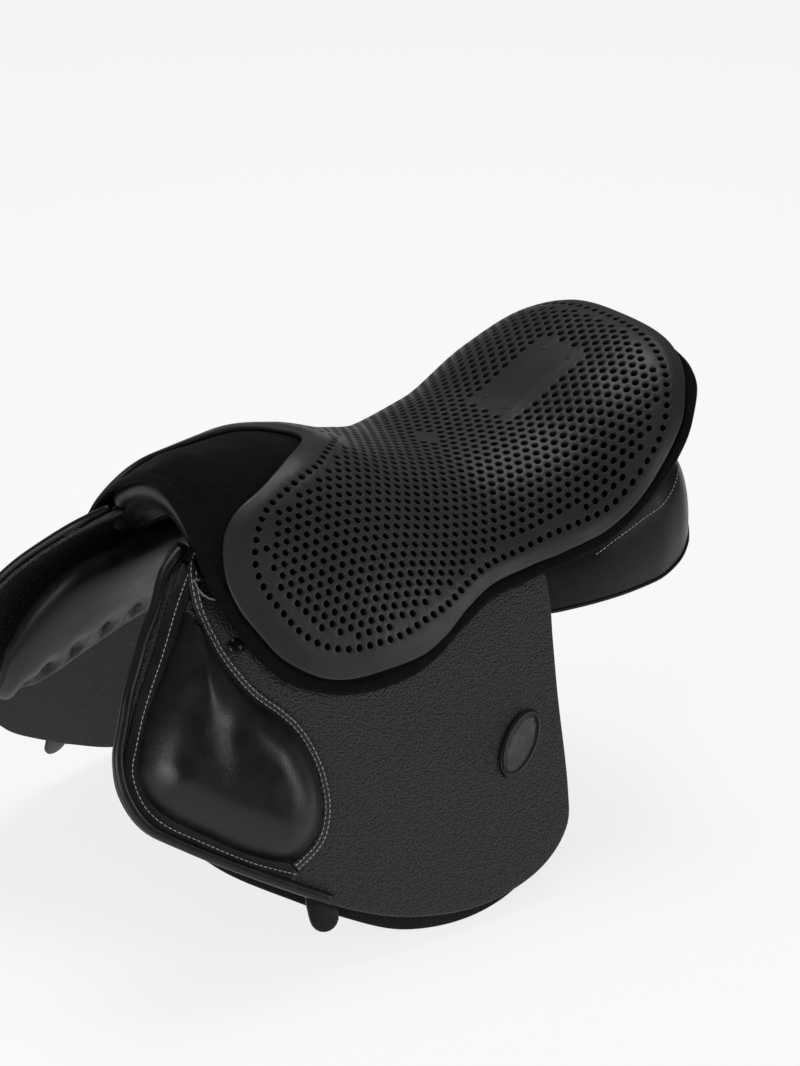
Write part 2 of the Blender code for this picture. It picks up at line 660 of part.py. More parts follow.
def fold_axis(side):
    """Two points of the line that a flap folds about, just outside the leather, front and back."""
    return [Vector((side * (flap_x(y, FOLD_Z) + FOLD_OUT), y, FOLD_Z)) for y in FOLD_ENDS]


def make_flap(shop, side):
    """The skirt, the flap with its fixed top and folding lower part, and the knee roll on it."""
    name = suffix(side)
    place = side_place(side)
    skirt = smooth_loop([(side * s, y) for s, y in SKIRT_EDGE], SEAT_STEP)
    shop.sheet("skirt_" + name, "grained_leather", [skirt], seat_point, LEATHER, SEAT_CELL)
    front, back = fold_axis(side)
    pivot = shop.pivot("flap_fold_" + name, (front + back) / 2)
    loop = smooth_loop(FLAP_EDGE, SEAT_STEP)
    top = evened(clipped(loop, FOLD_Z + FOLD_GAP / 2, True), TREE_STEP)
    low = evened(clipped(loop, FOLD_Z - FOLD_GAP / 2, False), TREE_STEP)
    flip = side < 0
    shop.sheet("flap_top_" + name, "grained_leather", [top], place, FLAP, FLAP_CELL, flip=flip)
    shop.sheet("flap_" + name, "grained_leather", [low], place, FLAP, FLAP_CELL, pivot, flip=flip)
    roll = smooth_loop(ROLL_EDGE_LINE, SAVER_STEP)
    top = evened(clipped(roll, FOLD_Z + ROLL_GAP / 2, True), SAVER_STEP)
    low = evened(clipped(roll, FOLD_Z - ROLL_GAP / 2, False), SAVER_STEP)
    shop.pillow("knee_roll_top_" + name, "black_leather", [top], place, ON_FLAP, ROLL_CELL,
                flip=flip)
    shop.pillow("knee_roll_" + name, "black_leather", [low], place, ON_FLAP, ROLL_CELL, pivot,
                flip=flip)
    oval = []
    for k in range(BADGE_POINTS):
        angle = 2 * math.pi * k / BADGE_POINTS
        u = BADGE_LONG * math.cos(angle)
        v = BADGE_SHORT * math.sin(angle)
        oval.append(Vector((BADGE_CENTRE[0] + u * math.cos(BADGE_TILT) - v * math.sin(BADGE_TILT),
                            BADGE_CENTRE[1] + u * math.sin(BADGE_TILT) + v * math.cos(BADGE_TILT))))
    shop.sheet("flap_keeper_" + name, "black_leather", [oval], place,
               (ON_FLAP - BADGE_THICKNESS, ON_FLAP), BADGE_CELL, pivot, flip=flip)


def make_sweat_flap(shop, side):
    """The sweat flap, the web of the girth straps and the pocket of the tree point."""
    name = suffix(side)
    place = side_place(side)
    flip = side < 0
    sweat = smooth_loop(SWEAT_EDGE, TREE_STEP)
    shop.sheet("sweat_flap_" + name, "grained_leather", [sweat], place, SWEAT, FLAP_CELL,
               flip=flip)
    web = strip(GIRTH_WEB_AREA, TREE_STEP)
    shop.sheet("girth_web_" + name, "webbing", [web], place, GIRTH_WEB, FOAM_CELL, flip=flip)
    pocket = smooth_loop(POCKET_EDGE, SAVER_STEP)
    shop.sheet("point_pocket_" + name, "panel_leather", [pocket], place, POCKET, SAVER_CELL,
               flip=flip)


def make_straps(shop, side):
    """Three girth straps, each hanging from its stitching on the web."""
    name = suffix(side)
    half = STRAP_WIDTH / 2
    middle = (STRAP[0] + STRAP[1]) / 2
    for label, (y, tip) in STRAPS.items():
        place = flap_point(side, y, STRAP_PIVOT_Z, middle)
        outward = flap_normal(side, y, STRAP_PIVOT_Z)
        below = flap_point(side, y, STRAP_PIVOT_Z - STRAP_SIGHT, middle)
        down = (below - place).normalized()
        length = (STRAP_PIVOT_Z - tip) / -down.z
        loop = [(half, -STRAP_ABOVE_PIVOT), (half, length - half)]
        for k in range(1, HALF_TURN):
            angle = math.pi * k / HALF_TURN
            loop.append((half * math.cos(angle), length - half + half * math.sin(angle)))
        loop += [(-half, length - half), (-half, -STRAP_ABOVE_PIVOT)]
        forward = down.cross(outward).normalized()
        frame = Matrix((forward, down, forward.cross(down))).transposed().to_4x4()
        frame.translation = place
        pivot = shop.pivot(f"strap_pivot_{label}_{name}", place)
        shop.slab(f"girth_strap_{label}_{name}", "black_leather", [loop], STRAP[1] - STRAP[0],
                  frame, pivot)


def make_panel(shop, side):
    """A flocked leather panel, lofted through its sections from the back to the front."""
    rings = []
    for y, top, shoulder, low, thick in PANEL:
        if low[0] is None:
            end = flap_point(1, y, low[1], PANEL_INSET)
            low_edge = Vector((end.x, low[1]))
        else:
            low_edge = Vector(low)
        top_edge, corner = Vector(top), Vector(shoulder)
        outer, inner = [], []
        for k in range(PANEL_AROUND + 1):
            u = 0.5 - 0.5 * math.cos(math.pi * k / PANEL_AROUND)
            spot = (1 - u) ** 2 * top_edge + 2 * u * (1 - u) * corner + u * u * low_edge
            tangent = 2 * (1 - u) * (corner - top_edge) + 2 * u * (low_edge - corner)
            normal = Vector((tangent.y, -tangent.x)).normalized()
            round_off = (1 - abs(2 * u - 1) ** PANEL_SQUARENESS) ** (1 / PANEL_SQUARENESS)
            outer.append(spot)
            inner.append(spot + normal * thick * round_off)
        ring = outer + inner[-2:0:-1]
        rings.append([Vector((side * p.x, y, p.y)) for p in ring])
    cage = bmesh.new()
    rows = [[cage.verts.new(p) for p in ring] for ring in rings]
    for ahead, behind in zip(rows[1:], rows):
        for i in range(len(ahead)):
            cage.faces.new((behind[i - 1], behind[i], ahead[i], ahead[i - 1]))
    cage.faces.new(rows[0])
    cage.faces.new(rows[-1])
    bmesh.ops.recalc_face_normals(cage, faces=cage.faces)
    mesh = bpy.data.meshes.new("panel_" + suffix(side))
    cage.to_mesh(mesh)
    cage.free()
    shop.add("panel_" + suffix(side), mesh, "panel_leather")


def make_hardware(shop, side):
    """The round nail beside the skirt, and the front dee in its leather chape."""
    make_nail(shop, side)
    make_dee(shop, side)


def make_nail(shop, side):
    """The domed nail, turned from its profile."""
    name = suffix(side)
    normal = flap_normal(side, *NAIL_AT)
    seat = flap_point(side, *NAIL_AT, ON_FLAP)
    mesh = bpy.data.meshes.new("saddle_nail_" + name)
    mesh.from_pydata([(NAIL_RADIUS * r, 0, h) for r, h in reversed(NAIL_PROFILE)],
                     [(i, i + 1) for i in range(len(NAIL_PROFILE) - 1)], [])
    nail = shop.add("saddle_nail_" + name, mesh, "bright_steel")
    upright = basis(seat, normal.orthogonal(), normal)
    nail.matrix_world = upright @ Matrix.Rotation(-math.pi / 2, 4, "X")
    turn = nail.modifiers.new("turned", "SCREW")
    turn.steps = turn.render_steps = 2 * HALF_TURN
    turn.use_merge_vertices = True
    turn.merge_threshold = WELD


def make_dee(shop, side):
    """The dee of round wire and the leather chape that holds it."""
    name = suffix(side)
    forward = (flap_point(side, DEE_AT[0] + SLOPE_STEP, DEE_AT[1], 0)
               - flap_point(side, DEE_AT[0] - SLOPE_STEP, DEE_AT[1], 0)).normalized()
    outward = flap_normal(side, *DEE_AT)
    down = forward.cross(outward).normalized()
    if down.z > 0:
        down = -down
    bar = flap_point(side, *DEE_AT, -DEE_STAND_OFF)
    frame = Matrix((forward, down, forward.cross(down))).transposed().to_4x4()
    frame.translation = bar
    half = DEE_WIDTH / 2
    path = [(-half, 0, 0), (-half / 3, 0, 0), (half / 3, 0, 0), (half, 0, 0)]
    for k in range(1, HALF_TURN):
        angle = math.pi * k / HALF_TURN
        path.append((half * math.cos(angle), DEE_DROP * math.sin(angle), 0))
    pivot = shop.pivot("dee_pivot_" + name, bar)
    shop.wire("dee_" + name, "bright_steel", path, DEE_WIRE, True, frame, pivot)

    eye = DEE_WIRE + CHAPE_GAP
    rim = eye + CHAPE_SKIN
    turns = [math.pi * k / HALF_TURN for k in range(2 * HALF_TURN)]
    loop = [(rim * math.sin(angle), rim * math.cos(angle)) for angle in turns[:HALF_TURN + 1]]
    loop += [(-CHAPE_TAIL, -rim), (-CHAPE_TAIL, 2 * CHAPE_SKIN - rim),
             (-CHAPE_NECK, CHAPE_SKIN / 2), (-rim, rim)]
    hole = [(eye * math.cos(angle), eye * math.sin(angle)) for angle in turns]
    lay = Matrix((down, outward, down.cross(outward))).transposed().to_4x4()
    lay.translation = bar
    shop.slab("dee_chape_" + name, "black_leather", [loop, hole], CHAPE_WIDTH, lay)


def main():
    """Makes every sub-assembly, then marks the sharp edges."""
    shop = Workshop()
    make_saver(shop)
    make_seat(shop)
    make_tree(shop)
    make_facing(shop)
    for side in (1, -1):
        make_stirrup_bar(shop, side)
        make_flap(shop, side)
        make_sweat_flap(shop, side)
        make_straps(shop, side)
        make_panel(shop, side)
        make_hardware(shop, side)
    for item in shop.parts.objects:
        if item.type == "MESH":
            item.data.set_sharp_from_angle(angle=SHARP)


main()
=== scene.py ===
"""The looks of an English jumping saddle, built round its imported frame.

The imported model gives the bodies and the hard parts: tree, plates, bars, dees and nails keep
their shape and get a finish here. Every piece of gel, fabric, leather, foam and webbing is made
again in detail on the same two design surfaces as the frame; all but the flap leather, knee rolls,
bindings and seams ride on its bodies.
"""

from __future__ import annotations

import json
import logging
import math
from dataclasses import dataclass, field
from enum import Enum
from typing import Any, Callable, Sequence

import bmesh
import bpy
import numpy as np
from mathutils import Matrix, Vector, noise
from mathutils.geometry import delaunay_2d_cdt

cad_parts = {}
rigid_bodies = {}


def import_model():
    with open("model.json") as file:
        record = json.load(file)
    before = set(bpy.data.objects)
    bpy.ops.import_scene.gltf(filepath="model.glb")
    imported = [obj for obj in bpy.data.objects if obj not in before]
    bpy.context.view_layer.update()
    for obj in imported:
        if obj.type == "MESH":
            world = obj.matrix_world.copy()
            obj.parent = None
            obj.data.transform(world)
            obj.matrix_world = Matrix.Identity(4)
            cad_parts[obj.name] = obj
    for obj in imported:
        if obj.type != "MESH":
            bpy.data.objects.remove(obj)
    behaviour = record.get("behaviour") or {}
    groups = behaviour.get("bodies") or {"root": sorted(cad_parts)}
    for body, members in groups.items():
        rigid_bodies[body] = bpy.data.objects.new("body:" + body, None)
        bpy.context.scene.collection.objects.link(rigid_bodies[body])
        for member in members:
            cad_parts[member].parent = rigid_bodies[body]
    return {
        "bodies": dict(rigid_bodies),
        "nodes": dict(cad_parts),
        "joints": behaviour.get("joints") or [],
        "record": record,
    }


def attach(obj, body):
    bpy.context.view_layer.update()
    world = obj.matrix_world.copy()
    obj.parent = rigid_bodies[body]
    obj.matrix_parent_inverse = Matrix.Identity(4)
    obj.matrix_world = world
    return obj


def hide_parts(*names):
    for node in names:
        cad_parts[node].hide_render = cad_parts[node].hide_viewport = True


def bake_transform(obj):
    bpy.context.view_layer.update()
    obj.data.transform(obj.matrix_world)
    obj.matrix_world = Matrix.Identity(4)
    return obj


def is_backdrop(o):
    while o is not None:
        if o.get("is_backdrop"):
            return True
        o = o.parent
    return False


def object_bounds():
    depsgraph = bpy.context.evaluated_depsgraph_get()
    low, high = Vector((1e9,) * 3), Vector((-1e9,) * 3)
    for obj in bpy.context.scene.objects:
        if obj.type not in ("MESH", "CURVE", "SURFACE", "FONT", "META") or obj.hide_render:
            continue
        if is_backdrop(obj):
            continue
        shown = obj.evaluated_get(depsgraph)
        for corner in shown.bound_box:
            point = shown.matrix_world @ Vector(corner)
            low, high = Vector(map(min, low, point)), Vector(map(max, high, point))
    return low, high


LOG = logging.getLogger("english_saddle")
MM = 0.001
Array = np.ndarray
Spots = Sequence[tuple[float, float]]
Place = Callable[[Array, Array], Array]


# ---------------------------------------------------------------------------------------------
# Design surfaces
# ---------------------------------------------------------------------------------------------

def smooth_read(at: Array, table: Spots) -> Array:
    """Reads a smooth curve through (position, value) pairs that never overshoots them.

    Args:
        at: positions to read at.
        table: the pairs, in rising order.

    Returns:
        The values, one for each position.
    """
    xs, ys = np.array(table, float).T
    step = np.diff(xs)
    slope = np.diff(ys) / step
    tangent = np.concatenate([[slope[0]], np.zeros(len(xs) - 2), [slope[-1]]])
    for i in range(1, len(xs) - 1):
        if slope[i - 1] * slope[i] > 0:
            left, right = 2 * step[i] + step[i - 1], step[i] + 2 * step[i - 1]
            tangent[i] = (left + right) / (left / slope[i - 1] + right / slope[i])
    at = np.clip(np.asarray(at, float), xs[0], xs[-1])
    i = np.clip(np.searchsorted(xs, at) - 1, 0, len(xs) - 2)
    t = (at - xs[i]) / step[i]
    return (ys[i] * (1 + 2 * t) * (1 - t) ** 2 + tangent[i] * step[i] * t * (1 - t) ** 2
            + ys[i + 1] * t * t * (3 - 2 * t) + tangent[i + 1] * step[i] * t * t * (t - 1))


@dataclass(frozen=True)
class SeatSurface:
    """The top of the seat saver, by arc length s across the saddle and y along it, in metres."""

    crest: Spots = ((-0.290, 0.140), (-0.260, 0.160), (-0.220, 0.170), (-0.170, 0.170),
                    (-0.120, 0.160), (-0.060, 0.138), (0.000, 0.1255), (0.067, 0.1345),
                    (0.137, 0.168), (0.185, 0.187), (0.208, 0.190), (0.224, 0.180),
                    (0.240, 0.156))
    side_slope: Spots = ((-0.29, 72), (-0.12, 72), (-0.04, 74), (0.05, 78), (0.12, 84), (0.24, 84))
    crown_width: Spots = ((-0.29, 0.085), (-0.20, 0.098), (-0.12, 0.115), (-0.04, 0.138),
                          (0.05, 0.150), (0.12, 0.155), (0.18, 0.150), (0.24, 0.135))
    crown_power: Spots = ((-0.29, 1.1), (-0.20, 1.15), (-0.12, 1.4), (-0.04, 1.7), (0.05, 2.2),
                          (0.12, 2.4), (0.24, 1.9))
    arc_steps: int = 48
    probe: float = 0.002

    def top(self, spots: Array) -> Array:
        """Points of the surface for (s, y) spots."""
        s, y = spots[:, 0], spots[:, 1]
        steepest = np.radians(smooth_read(y, self.side_slope))
        width, power = smooth_read(y, self.crown_width), smooth_read(y, self.crown_power)
        share = (np.arange(self.arc_steps) + 0.5) / self.arc_steps
        reach = np.abs(s)
        bend = ((reach[:, None] * share) / width[:, None]) ** power[:, None]
        slope = steepest[:, None] * (1 - np.exp(-bend))
        across, drop = np.cos(slope).mean(1) * reach, np.sin(slope).mean(1) * reach
        return np.stack([np.copysign(across, s), y, smooth_read(y, self.crest) - drop], 1)

    def normal(self, spots: Array) -> Array:
        """Outward normals for (s, y) spots."""
        ds, dy = np.array([self.probe, 0.0]), np.array([0.0, self.probe])
        across = self.top(spots + ds) - self.top(spots - ds)
        along = self.top(spots + dy) - self.top(spots - dy)
        out = np.cross(across, along)
        return out / np.linalg.norm(out, axis=1, keepdims=True)

    def place(self, spots: Array, depth: Array) -> Array:
        """Points at a depth under the surface."""
        return self.top(spots) - self.normal(spots) * np.broadcast_to(depth, len(spots))[:, None]


@dataclass(frozen=True)
class FlapSurface:
    """The outer face of one side's flap, by y and z. Side is 1 on the horse's left, or -1."""

    side: int
    width: float = 0.150
    spread: float = 0.404
    top_pull: float = 6.5
    top_z: float = 0.032
    front_turn: float = 0.095
    front_turn_y: float = -0.200
    front_turn_soft: float = 0.040
    probe: float = 0.002

    def x(self, y: Array, z: Array) -> Array:
        """Distance of the face from the midline."""
        lead = self.front_turn_y - y
        turn = self.front_turn * (lead + np.hypot(lead, self.front_turn_soft))
        pull = self.top_pull * np.maximum(0.0, z - self.top_z) ** 2
        return self.width - self.spread * z - pull - turn

    def normal(self, spots: Array) -> Array:
        """Normals away from the horse for (y, z) spots."""
        y, z, h = spots[:, 0], spots[:, 1], self.probe
        by_y = (self.x(y + h, z) - self.x(y - h, z)) / (2 * h)
        by_z = (self.x(y, z + h) - self.x(y, z - h)) / (2 * h)
        out = np.stack([np.full(len(y), float(self.side)), -by_y, -by_z], 1)
        return out / np.linalg.norm(out, axis=1, keepdims=True)

    def place(self, spots: Array, inset: Array) -> Array:
        """Points at an inset behind the face, or in front of it where the inset is below 0."""
        y, z = spots[:, 0], spots[:, 1]
        outer = np.stack([self.side * self.x(y, z), y, z], 1)
        return outer - self.normal(spots) * np.broadcast_to(inset, len(spots))[:, None]


# ---------------------------------------------------------------------------------------------
# Outlines
# ---------------------------------------------------------------------------------------------

def curve_through(points: Spots, spacing: float, closed: bool = True) -> Array:
    """A Catmull-Rom curve through points, with even steps.

    Args:
        points: the points, in order.
        spacing: distance between the curve's points, in metres.
        closed: whether the curve returns to its first point.

    Returns:
        The curve's points.
    """
    knots = np.array(points, float)
    count = len(knots)
    fine = []
    for i in range(count if closed else count - 1):
        if closed:
            p0, p1, p2, p3 = (knots[(i + k) % count] for k in (-1, 0, 1, 2))
        else:
            p0, p1, p2, p3 = (knots[min(max(i + k, 0), count - 1)] for k in (-1, 0, 1, 2))
        t = np.linspace(0, 1, 24, endpoint=False)[:, None]
        fine.append(0.5 * (2 * p1 + (p2 - p0) * t + (2 * p0 - 5 * p1 + 4 * p2 - p3) * t ** 2
                           + (3 * p1 - p0 - 3 * p2 + p3) * t ** 3))
    line = np.concatenate(fine + [knots[:1] if closed else knots[-1:]])
    return respaced(line, spacing, closed)


def respaced(line: Array, spacing: float, closed: bool) -> Array:
    """The same line with points an even distance apart. A closed line ends on its first point."""
    along = np.concatenate([[0.0], np.cumsum(np.linalg.norm(np.diff(line, axis=0), axis=1))])
    count = max(2, round(along[-1] / spacing))
    at = np.linspace(0, along[-1], count + 1)[: count if closed else count + 1]
    return np.stack([np.interp(at, along, line[:, k]) for k in range(line.shape[1])], 1)


def mirrored(half: Spots) -> list[tuple[float, float]]:
    """A whole outline from its right half, which starts and ends on the midline."""
    return list(half) + [(-s, y) for s, y in reversed(half[1:-1])]


def anticlockwise(loop: Array) -> Array:
    """The loop, turned round if it runs clockwise."""
    after = np.roll(loop, -1, 0)
    area = (loop[:, 0] * after[:, 1] - after[:, 0] * loop[:, 1]).sum()
    return loop if area > 0 else loop[::-1]


def shrunk(loop: Array, distance: float) -> Array:
    """An anticlockwise loop moved inwards by a distance, point by point."""
    along = np.roll(loop, -1, 0) - np.roll(loop, 1, 0)
    along /= np.linalg.norm(along, axis=1, keepdims=True)
    return loop + np.stack([-along[:, 1], along[:, 0]], 1) * distance


def distance_to(line: Array, spots: Array, closed: bool = True) -> Array:
    """Distance from each spot to the nearest stretch of a line."""
    a = line if closed else line[:-1]
    b = np.roll(line, -1, 0) if closed else line[1:]
    best = np.full(len(spots), np.inf)
    for start in range(0, len(a), 64):
        p, d = a[start:start + 64], (b - a)[start:start + 64]
        rel = spots[:, None] - p[None]
        t = np.clip((rel * d).sum(2) / np.maximum((d * d).sum(1), 1e-15), 0, 1)
        best = np.minimum(best, np.linalg.norm(rel - t[..., None] * d, axis=2).min(1))
    return best


def inside(loop: Array, spots: Array) -> Array:
    """Whether each spot is inside a loop."""
    within = np.zeros(len(spots), bool)
    x, y = spots[:, 0], spots[:, 1]
    for a, b in zip(loop, np.roll(loop, -1, 0)):
        if a[1] != b[1]:
            crosses = (a[1] > y) != (b[1] > y)
            within ^= crosses & (x < (b[0] - a[0]) * (y - a[1]) / (b[1] - a[1]) + a[0])
    return within


def lattice(loop: Array, cell: float) -> Array:
    """Spots of a triangular lattice over a loop's box."""
    low, high = loop.min(0), loop.max(0)
    rows = np.arange(math.floor(low[1] / (cell * 0.866)), math.ceil(high[1] / (cell * 0.866)) + 1)
    columns = np.arange(math.floor(low[0] / cell) - 1, math.ceil(high[0] / cell) + 2)
    u, v = np.meshgrid(columns, rows)
    return np.stack([((u + 0.5 * (v % 2)) * cell).ravel(), (v * cell * 0.866).ravel()], 1)


# ---------------------------------------------------------------------------------------------
# Meshes
# ---------------------------------------------------------------------------------------------

class Shell:
    """Gathers points and faces, then makes a mesh of them."""

    def __init__(self) -> None:
        """Starts empty."""
        self.points: list[Array] = []
        self.faces: list[tuple[int, ...]] = []
        self.count = 0

    def add(self, points: Array) -> Array:
        """Adds points and returns their indices."""
        self.points.append(np.asarray(points, float))
        first, self.count = self.count, self.count + len(points)
        return np.arange(first, self.count)

    def bridge(self, ahead: Array, behind: Array, closed: bool = True) -> None:
        """Joins two rings of indices with quads."""
        for i in range(0 if closed else 1, len(ahead)):
            self.faces.append((behind[i - 1], behind[i], ahead[i], ahead[i - 1]))

    def cap(self, ring: Array, flip: bool = False) -> None:
        """Closes a ring with one face."""
        self.faces.append(tuple(int(i) for i in (ring[::-1] if flip else ring)))

    def piece(self, name: str) -> bpy.types.Object:
        """Makes the mesh, winds every face outwards and links it as a smooth shaded object.

        Args:
            name: the piece's name.

        Returns:
            The new object.
        """
        mesh = bpy.data.meshes.new(name)
        mesh.from_pydata(np.concatenate(self.points).tolist(), [],
                         [[int(i) for i in face] for face in self.faces])
        mesh.validate()
        cage = bmesh.new()
        cage.from_mesh(mesh)
        bmesh.ops.recalc_face_normals(cage, faces=cage.faces)
        cage.to_mesh(mesh)
        cage.free()
        mesh.shade_smooth()
        item = bpy.data.objects.new(name, mesh)
        bpy.context.scene.collection.objects.link(item)
        return item


Relief = Callable[[Array, Array], Array]


@dataclass
class Layer:
    """A closed sheet between two depths of a design surface, with a rounded edge and holes.

    Attributes:
        outline: the edge, as spots of the surface.
        place: the surface's function from spots and depths to points.
        outer: depth of the face away from the horse.
        inner: depth of the face towards the horse.
        rim: radius that rounds the edge.
        cell: size of the inner triangles.
        relief: how far the outer face stands proud at spots, given their distance to the edge.
        holes: centres of round holes through the sheet.
        hole_radius: their radius.
        bevel: how far the mouth of a hole is rounded.
        bands: further distances from the edge where the mesh follows it.
    """

    outline: Array
    place: Place
    outer: float
    inner: float
    rim: float
    cell: float
    relief: Relief | None = None
    holes: Array | None = None
    hole_radius: float = 0.0
    bevel: float = 0.6 * MM
    bands: tuple[float, ...] = ()
    rim_steps: int = 4
    hole_sides: int = 12

    def build(self, name: str) -> bpy.types.Object:
        """Makes the sheet.

        Args:
            name: the piece's name.

        Returns:
            The new object.
        """
        edge = anticlockwise(self.outline)
        shell = Shell()
        round_off = min(self.rim, (self.inner - self.outer) / 2)
        rings: list[Array] = []
        for face in (0, 1):
            steps = range(self.rim_steps + 1) if face else range(self.rim_steps, -1, -1)
            for k in steps:
                angle = math.pi / 2 * k / self.rim_steps
                ring = shrunk(edge, round_off * (1 - math.cos(angle)))
                drop = round_off * (1 - math.sin(angle))
                depth = self.inner - drop if face else self.outer + drop
                if not face:
                    depth = depth - self.height(ring, edge) * math.sin(angle)
                rings.append(shell.add(self.place(ring, depth)))
        for ahead, behind in zip(rings[1:], rings):
            shell.bridge(ahead, behind)
        first = rings[0]
        for band in self.bands:
            ring = shrunk(edge, band)
            following = shell.add(self.place(ring, self.outer - self.height(ring, edge)))
            shell.bridge(first, following)
            first = following
        base = shrunk(edge, self.bands[-1] if self.bands else round_off)
        back = shrunk(edge, round_off)
        self.fill(shell, base, first, edge, True)
        if self.bands:
            following = shell.add(self.place(base, self.inner))
            shell.bridge(following, rings[-1])
            self.fill(shell, base, following, edge, False)
        else:
            self.fill(shell, back, rings[-1], edge, False)
        if self.holes is not None:
            self.walls(shell)
        return shell.piece(name)

    def height(self, spots: Array, edge: Array) -> Array:
        """How far the outer face stands proud at the spots."""
        if self.relief is None:
            return np.zeros(len(spots))
        return self.relief(spots, distance_to(edge, spots))

    def rims(self, radius: float) -> Array:
        """The spots round every hole at a radius, hole by hole."""
        turn = 2 * math.pi * np.arange(self.hole_sides) / self.hole_sides
        circle = np.stack([np.cos(turn), np.sin(turn)], 1) * radius
        return (self.holes[:, None] + circle[None]).reshape(-1, 2)

    def fill(self, shell: Shell, ring: Array, known: Array, edge: Array, front: bool) -> None:
        """Fills a face inside its outermost ring, leaving the holes open."""
        filler = lattice(ring, self.cell)
        filler = filler[inside(ring, filler)]
        filler = filler[distance_to(ring, filler) > 0.5 * self.cell]
        mouth = np.zeros((0, 2))
        if self.holes is not None:
            mouth = self.rims(self.hole_radius + (self.bevel if front else 0.0))
            clear = self.hole_radius + self.bevel + 0.45 * self.cell
            for start in range(0, len(self.holes), 128):
                gap = filler[:, None] - self.holes[None, start:start + 128]
                filler = filler[np.linalg.norm(gap, axis=2).min(1) > clear]
        spots = np.concatenate([ring, mouth, filler])
        ends = [(i, (i + 1) % len(ring)) for i in range(len(ring))]
        for hole in range(len(mouth) // self.hole_sides):
            first = len(ring) + hole * self.hole_sides
            ends += [(first + i, first + (i + 1) % self.hole_sides)
                     for i in range(self.hole_sides)]
        found, _, faces, source, _, _ = delaunay_2d_cdt([Vector(p) for p in spots], ends, [], 1, 1e-9)
        order = np.array([s[0] if s else -1 for s in source])
        depth = self.outer - self.height(spots, edge) if front else np.full(len(spots), self.inner)
        points = self.place(spots, depth)
        index = np.concatenate([known, shell.add(points[len(known):])])
        if front:
            self.mouths = index[len(ring):len(ring) + len(mouth)]
        else:
            self.floors = index[len(ring):len(ring) + len(mouth)]
        group = np.full(len(spots), -1)
        group[len(ring):len(ring) + len(mouth)] = np.arange(len(mouth)) // self.hole_sides
        for face in faces:
            a, b, c = (int(order[i]) for i in face)
            if group[a] >= 0 and group[a] == group[b] == group[c]:
                continue
            shell.faces.append((index[a], index[b], index[c]) if front
                               else (index[c], index[b], index[a]))

    def walls(self, shell: Shell) -> None:
        """The rounded mouths and straight walls of the holes."""
        above = self.mouths.reshape(-1, self.hole_sides)
        for out, down in ((0.35 * self.bevel, 0.18 * self.bevel), (0.0, 1.1 * self.bevel)):
            ring = self.rims(self.hole_radius + out)
            level = self.outer + down - self.height(ring, anticlockwise(self.outline))
            below = shell.add(self.place(ring, level)).reshape(-1, self.hole_sides)
            for high, low in zip(above, below):
                shell.bridge(high, low)
            above = below
        for high, low in zip(above, self.floors.reshape(-1, self.hole_sides)):
            shell.bridge(high, low)


def tube(name: str, path: Array, radii: Array, side_way: Array, sides: int = 12,
         closed: bool = False) -> bpy.types.Object:
    """A tube of oval section along a path.

    Args:
        name: the piece's name.
        path: the points of its middle line.
        radii: (across, up) radii at each point, or one pair for all.
        side_way: the direction that its second radius points in, at each point.
        sides: points round the section.
        closed: whether it joins onto itself.

    Returns:
        The new object.
    """
    shell = Shell()
    if closed:
        along = np.roll(path, -1, 0) - np.roll(path, 1, 0)
    else:
        along = np.gradient(path, axis=0)
    along /= np.linalg.norm(along, axis=1, keepdims=True)
    up = side_way - along * (side_way * along).sum(1, keepdims=True)
    up /= np.linalg.norm(up, axis=1, keepdims=True)
    across = np.cross(along, up)
    radii = np.broadcast_to(radii, (len(path), 2))
    turn = 2 * math.pi * np.arange(sides) / sides
    rings = []
    for p, a, u, r in zip(path, across, up, radii):
        rings.append(shell.add(p + np.outer(np.cos(turn), a) * r[0] + np.outer(np.sin(turn), u) * r[1]))
    for ahead, behind in zip(rings[1:], rings):
        shell.bridge(ahead, behind)
    if closed:
        shell.bridge(rings[0], rings[-1])
    else:
        shell.cap(rings[0], True)
        shell.cap(rings[-1])
    return shell.piece(name)


@dataclass(frozen=True)
class Seam:
    """A row of stitches along a line on a design surface.

    Attributes:
        pitch: distance from one stitch to the next.
        length: length of the thread that shows.
        thread: thickness of the thread.
    """

    pitch: float = 4.0 * MM
    length: float = 3.0 * MM
    thread: float = 0.75 * MM

    def sew(self, name: str, lines: Sequence[Array], place: Place, lift: float) -> bpy.types.Object:
        """Makes the stitches of one or more rows as one piece.

        Args:
            name: the piece's name.
            lines: rows of spots on the surface.
            place: the surface's function from spots and depths to points.
            lift: how far the middle of the thread stands out from the surface.

        Returns:
            The new object.
        """
        shell = Shell()
        shares = ((-0.5, 0.35), (-0.36, 0.85), (0.0, 1.0), (0.36, 0.85), (0.5, 0.35))
        turn = 2 * math.pi * np.arange(6) / 6
        for line in lines:
            row = respaced(line, self.pitch, False)
            middles = (row[1:] + row[:-1]) / 2
            half = (row[1:] - row[:-1]) / 2 * (self.length / self.pitch)
            start, end = place(middles - half, -lift), place(middles + half, -lift)
            above = place(middles, -lift - MM)
            for a, b, top in zip(start, end, above):
                along = b - a
                size = np.linalg.norm(along)
                along /= size
                up = top - (a + b) / 2
                up -= along * (up @ along)
                up /= np.linalg.norm(up)
                across = np.cross(along, up)
                rings = []
                for share, full in shares:
                    r = self.thread / 2 * full
                    sink = (1 - full) * self.thread * 0.6
                    middle = (a + b) / 2 + along * size * share - up * sink
                    rings.append(shell.add(middle + np.outer(np.cos(turn), across) * r
                                           + np.outer(np.sin(turn), up) * r))
                for ahead, behind in zip(rings[1:], rings):
                    shell.bridge(ahead, behind)
                shell.cap(rings[0], True)
                shell.cap(rings[-1])
        return shell.piece(name)


# ---------------------------------------------------------------------------------------------
# Finishes
# ---------------------------------------------------------------------------------------------

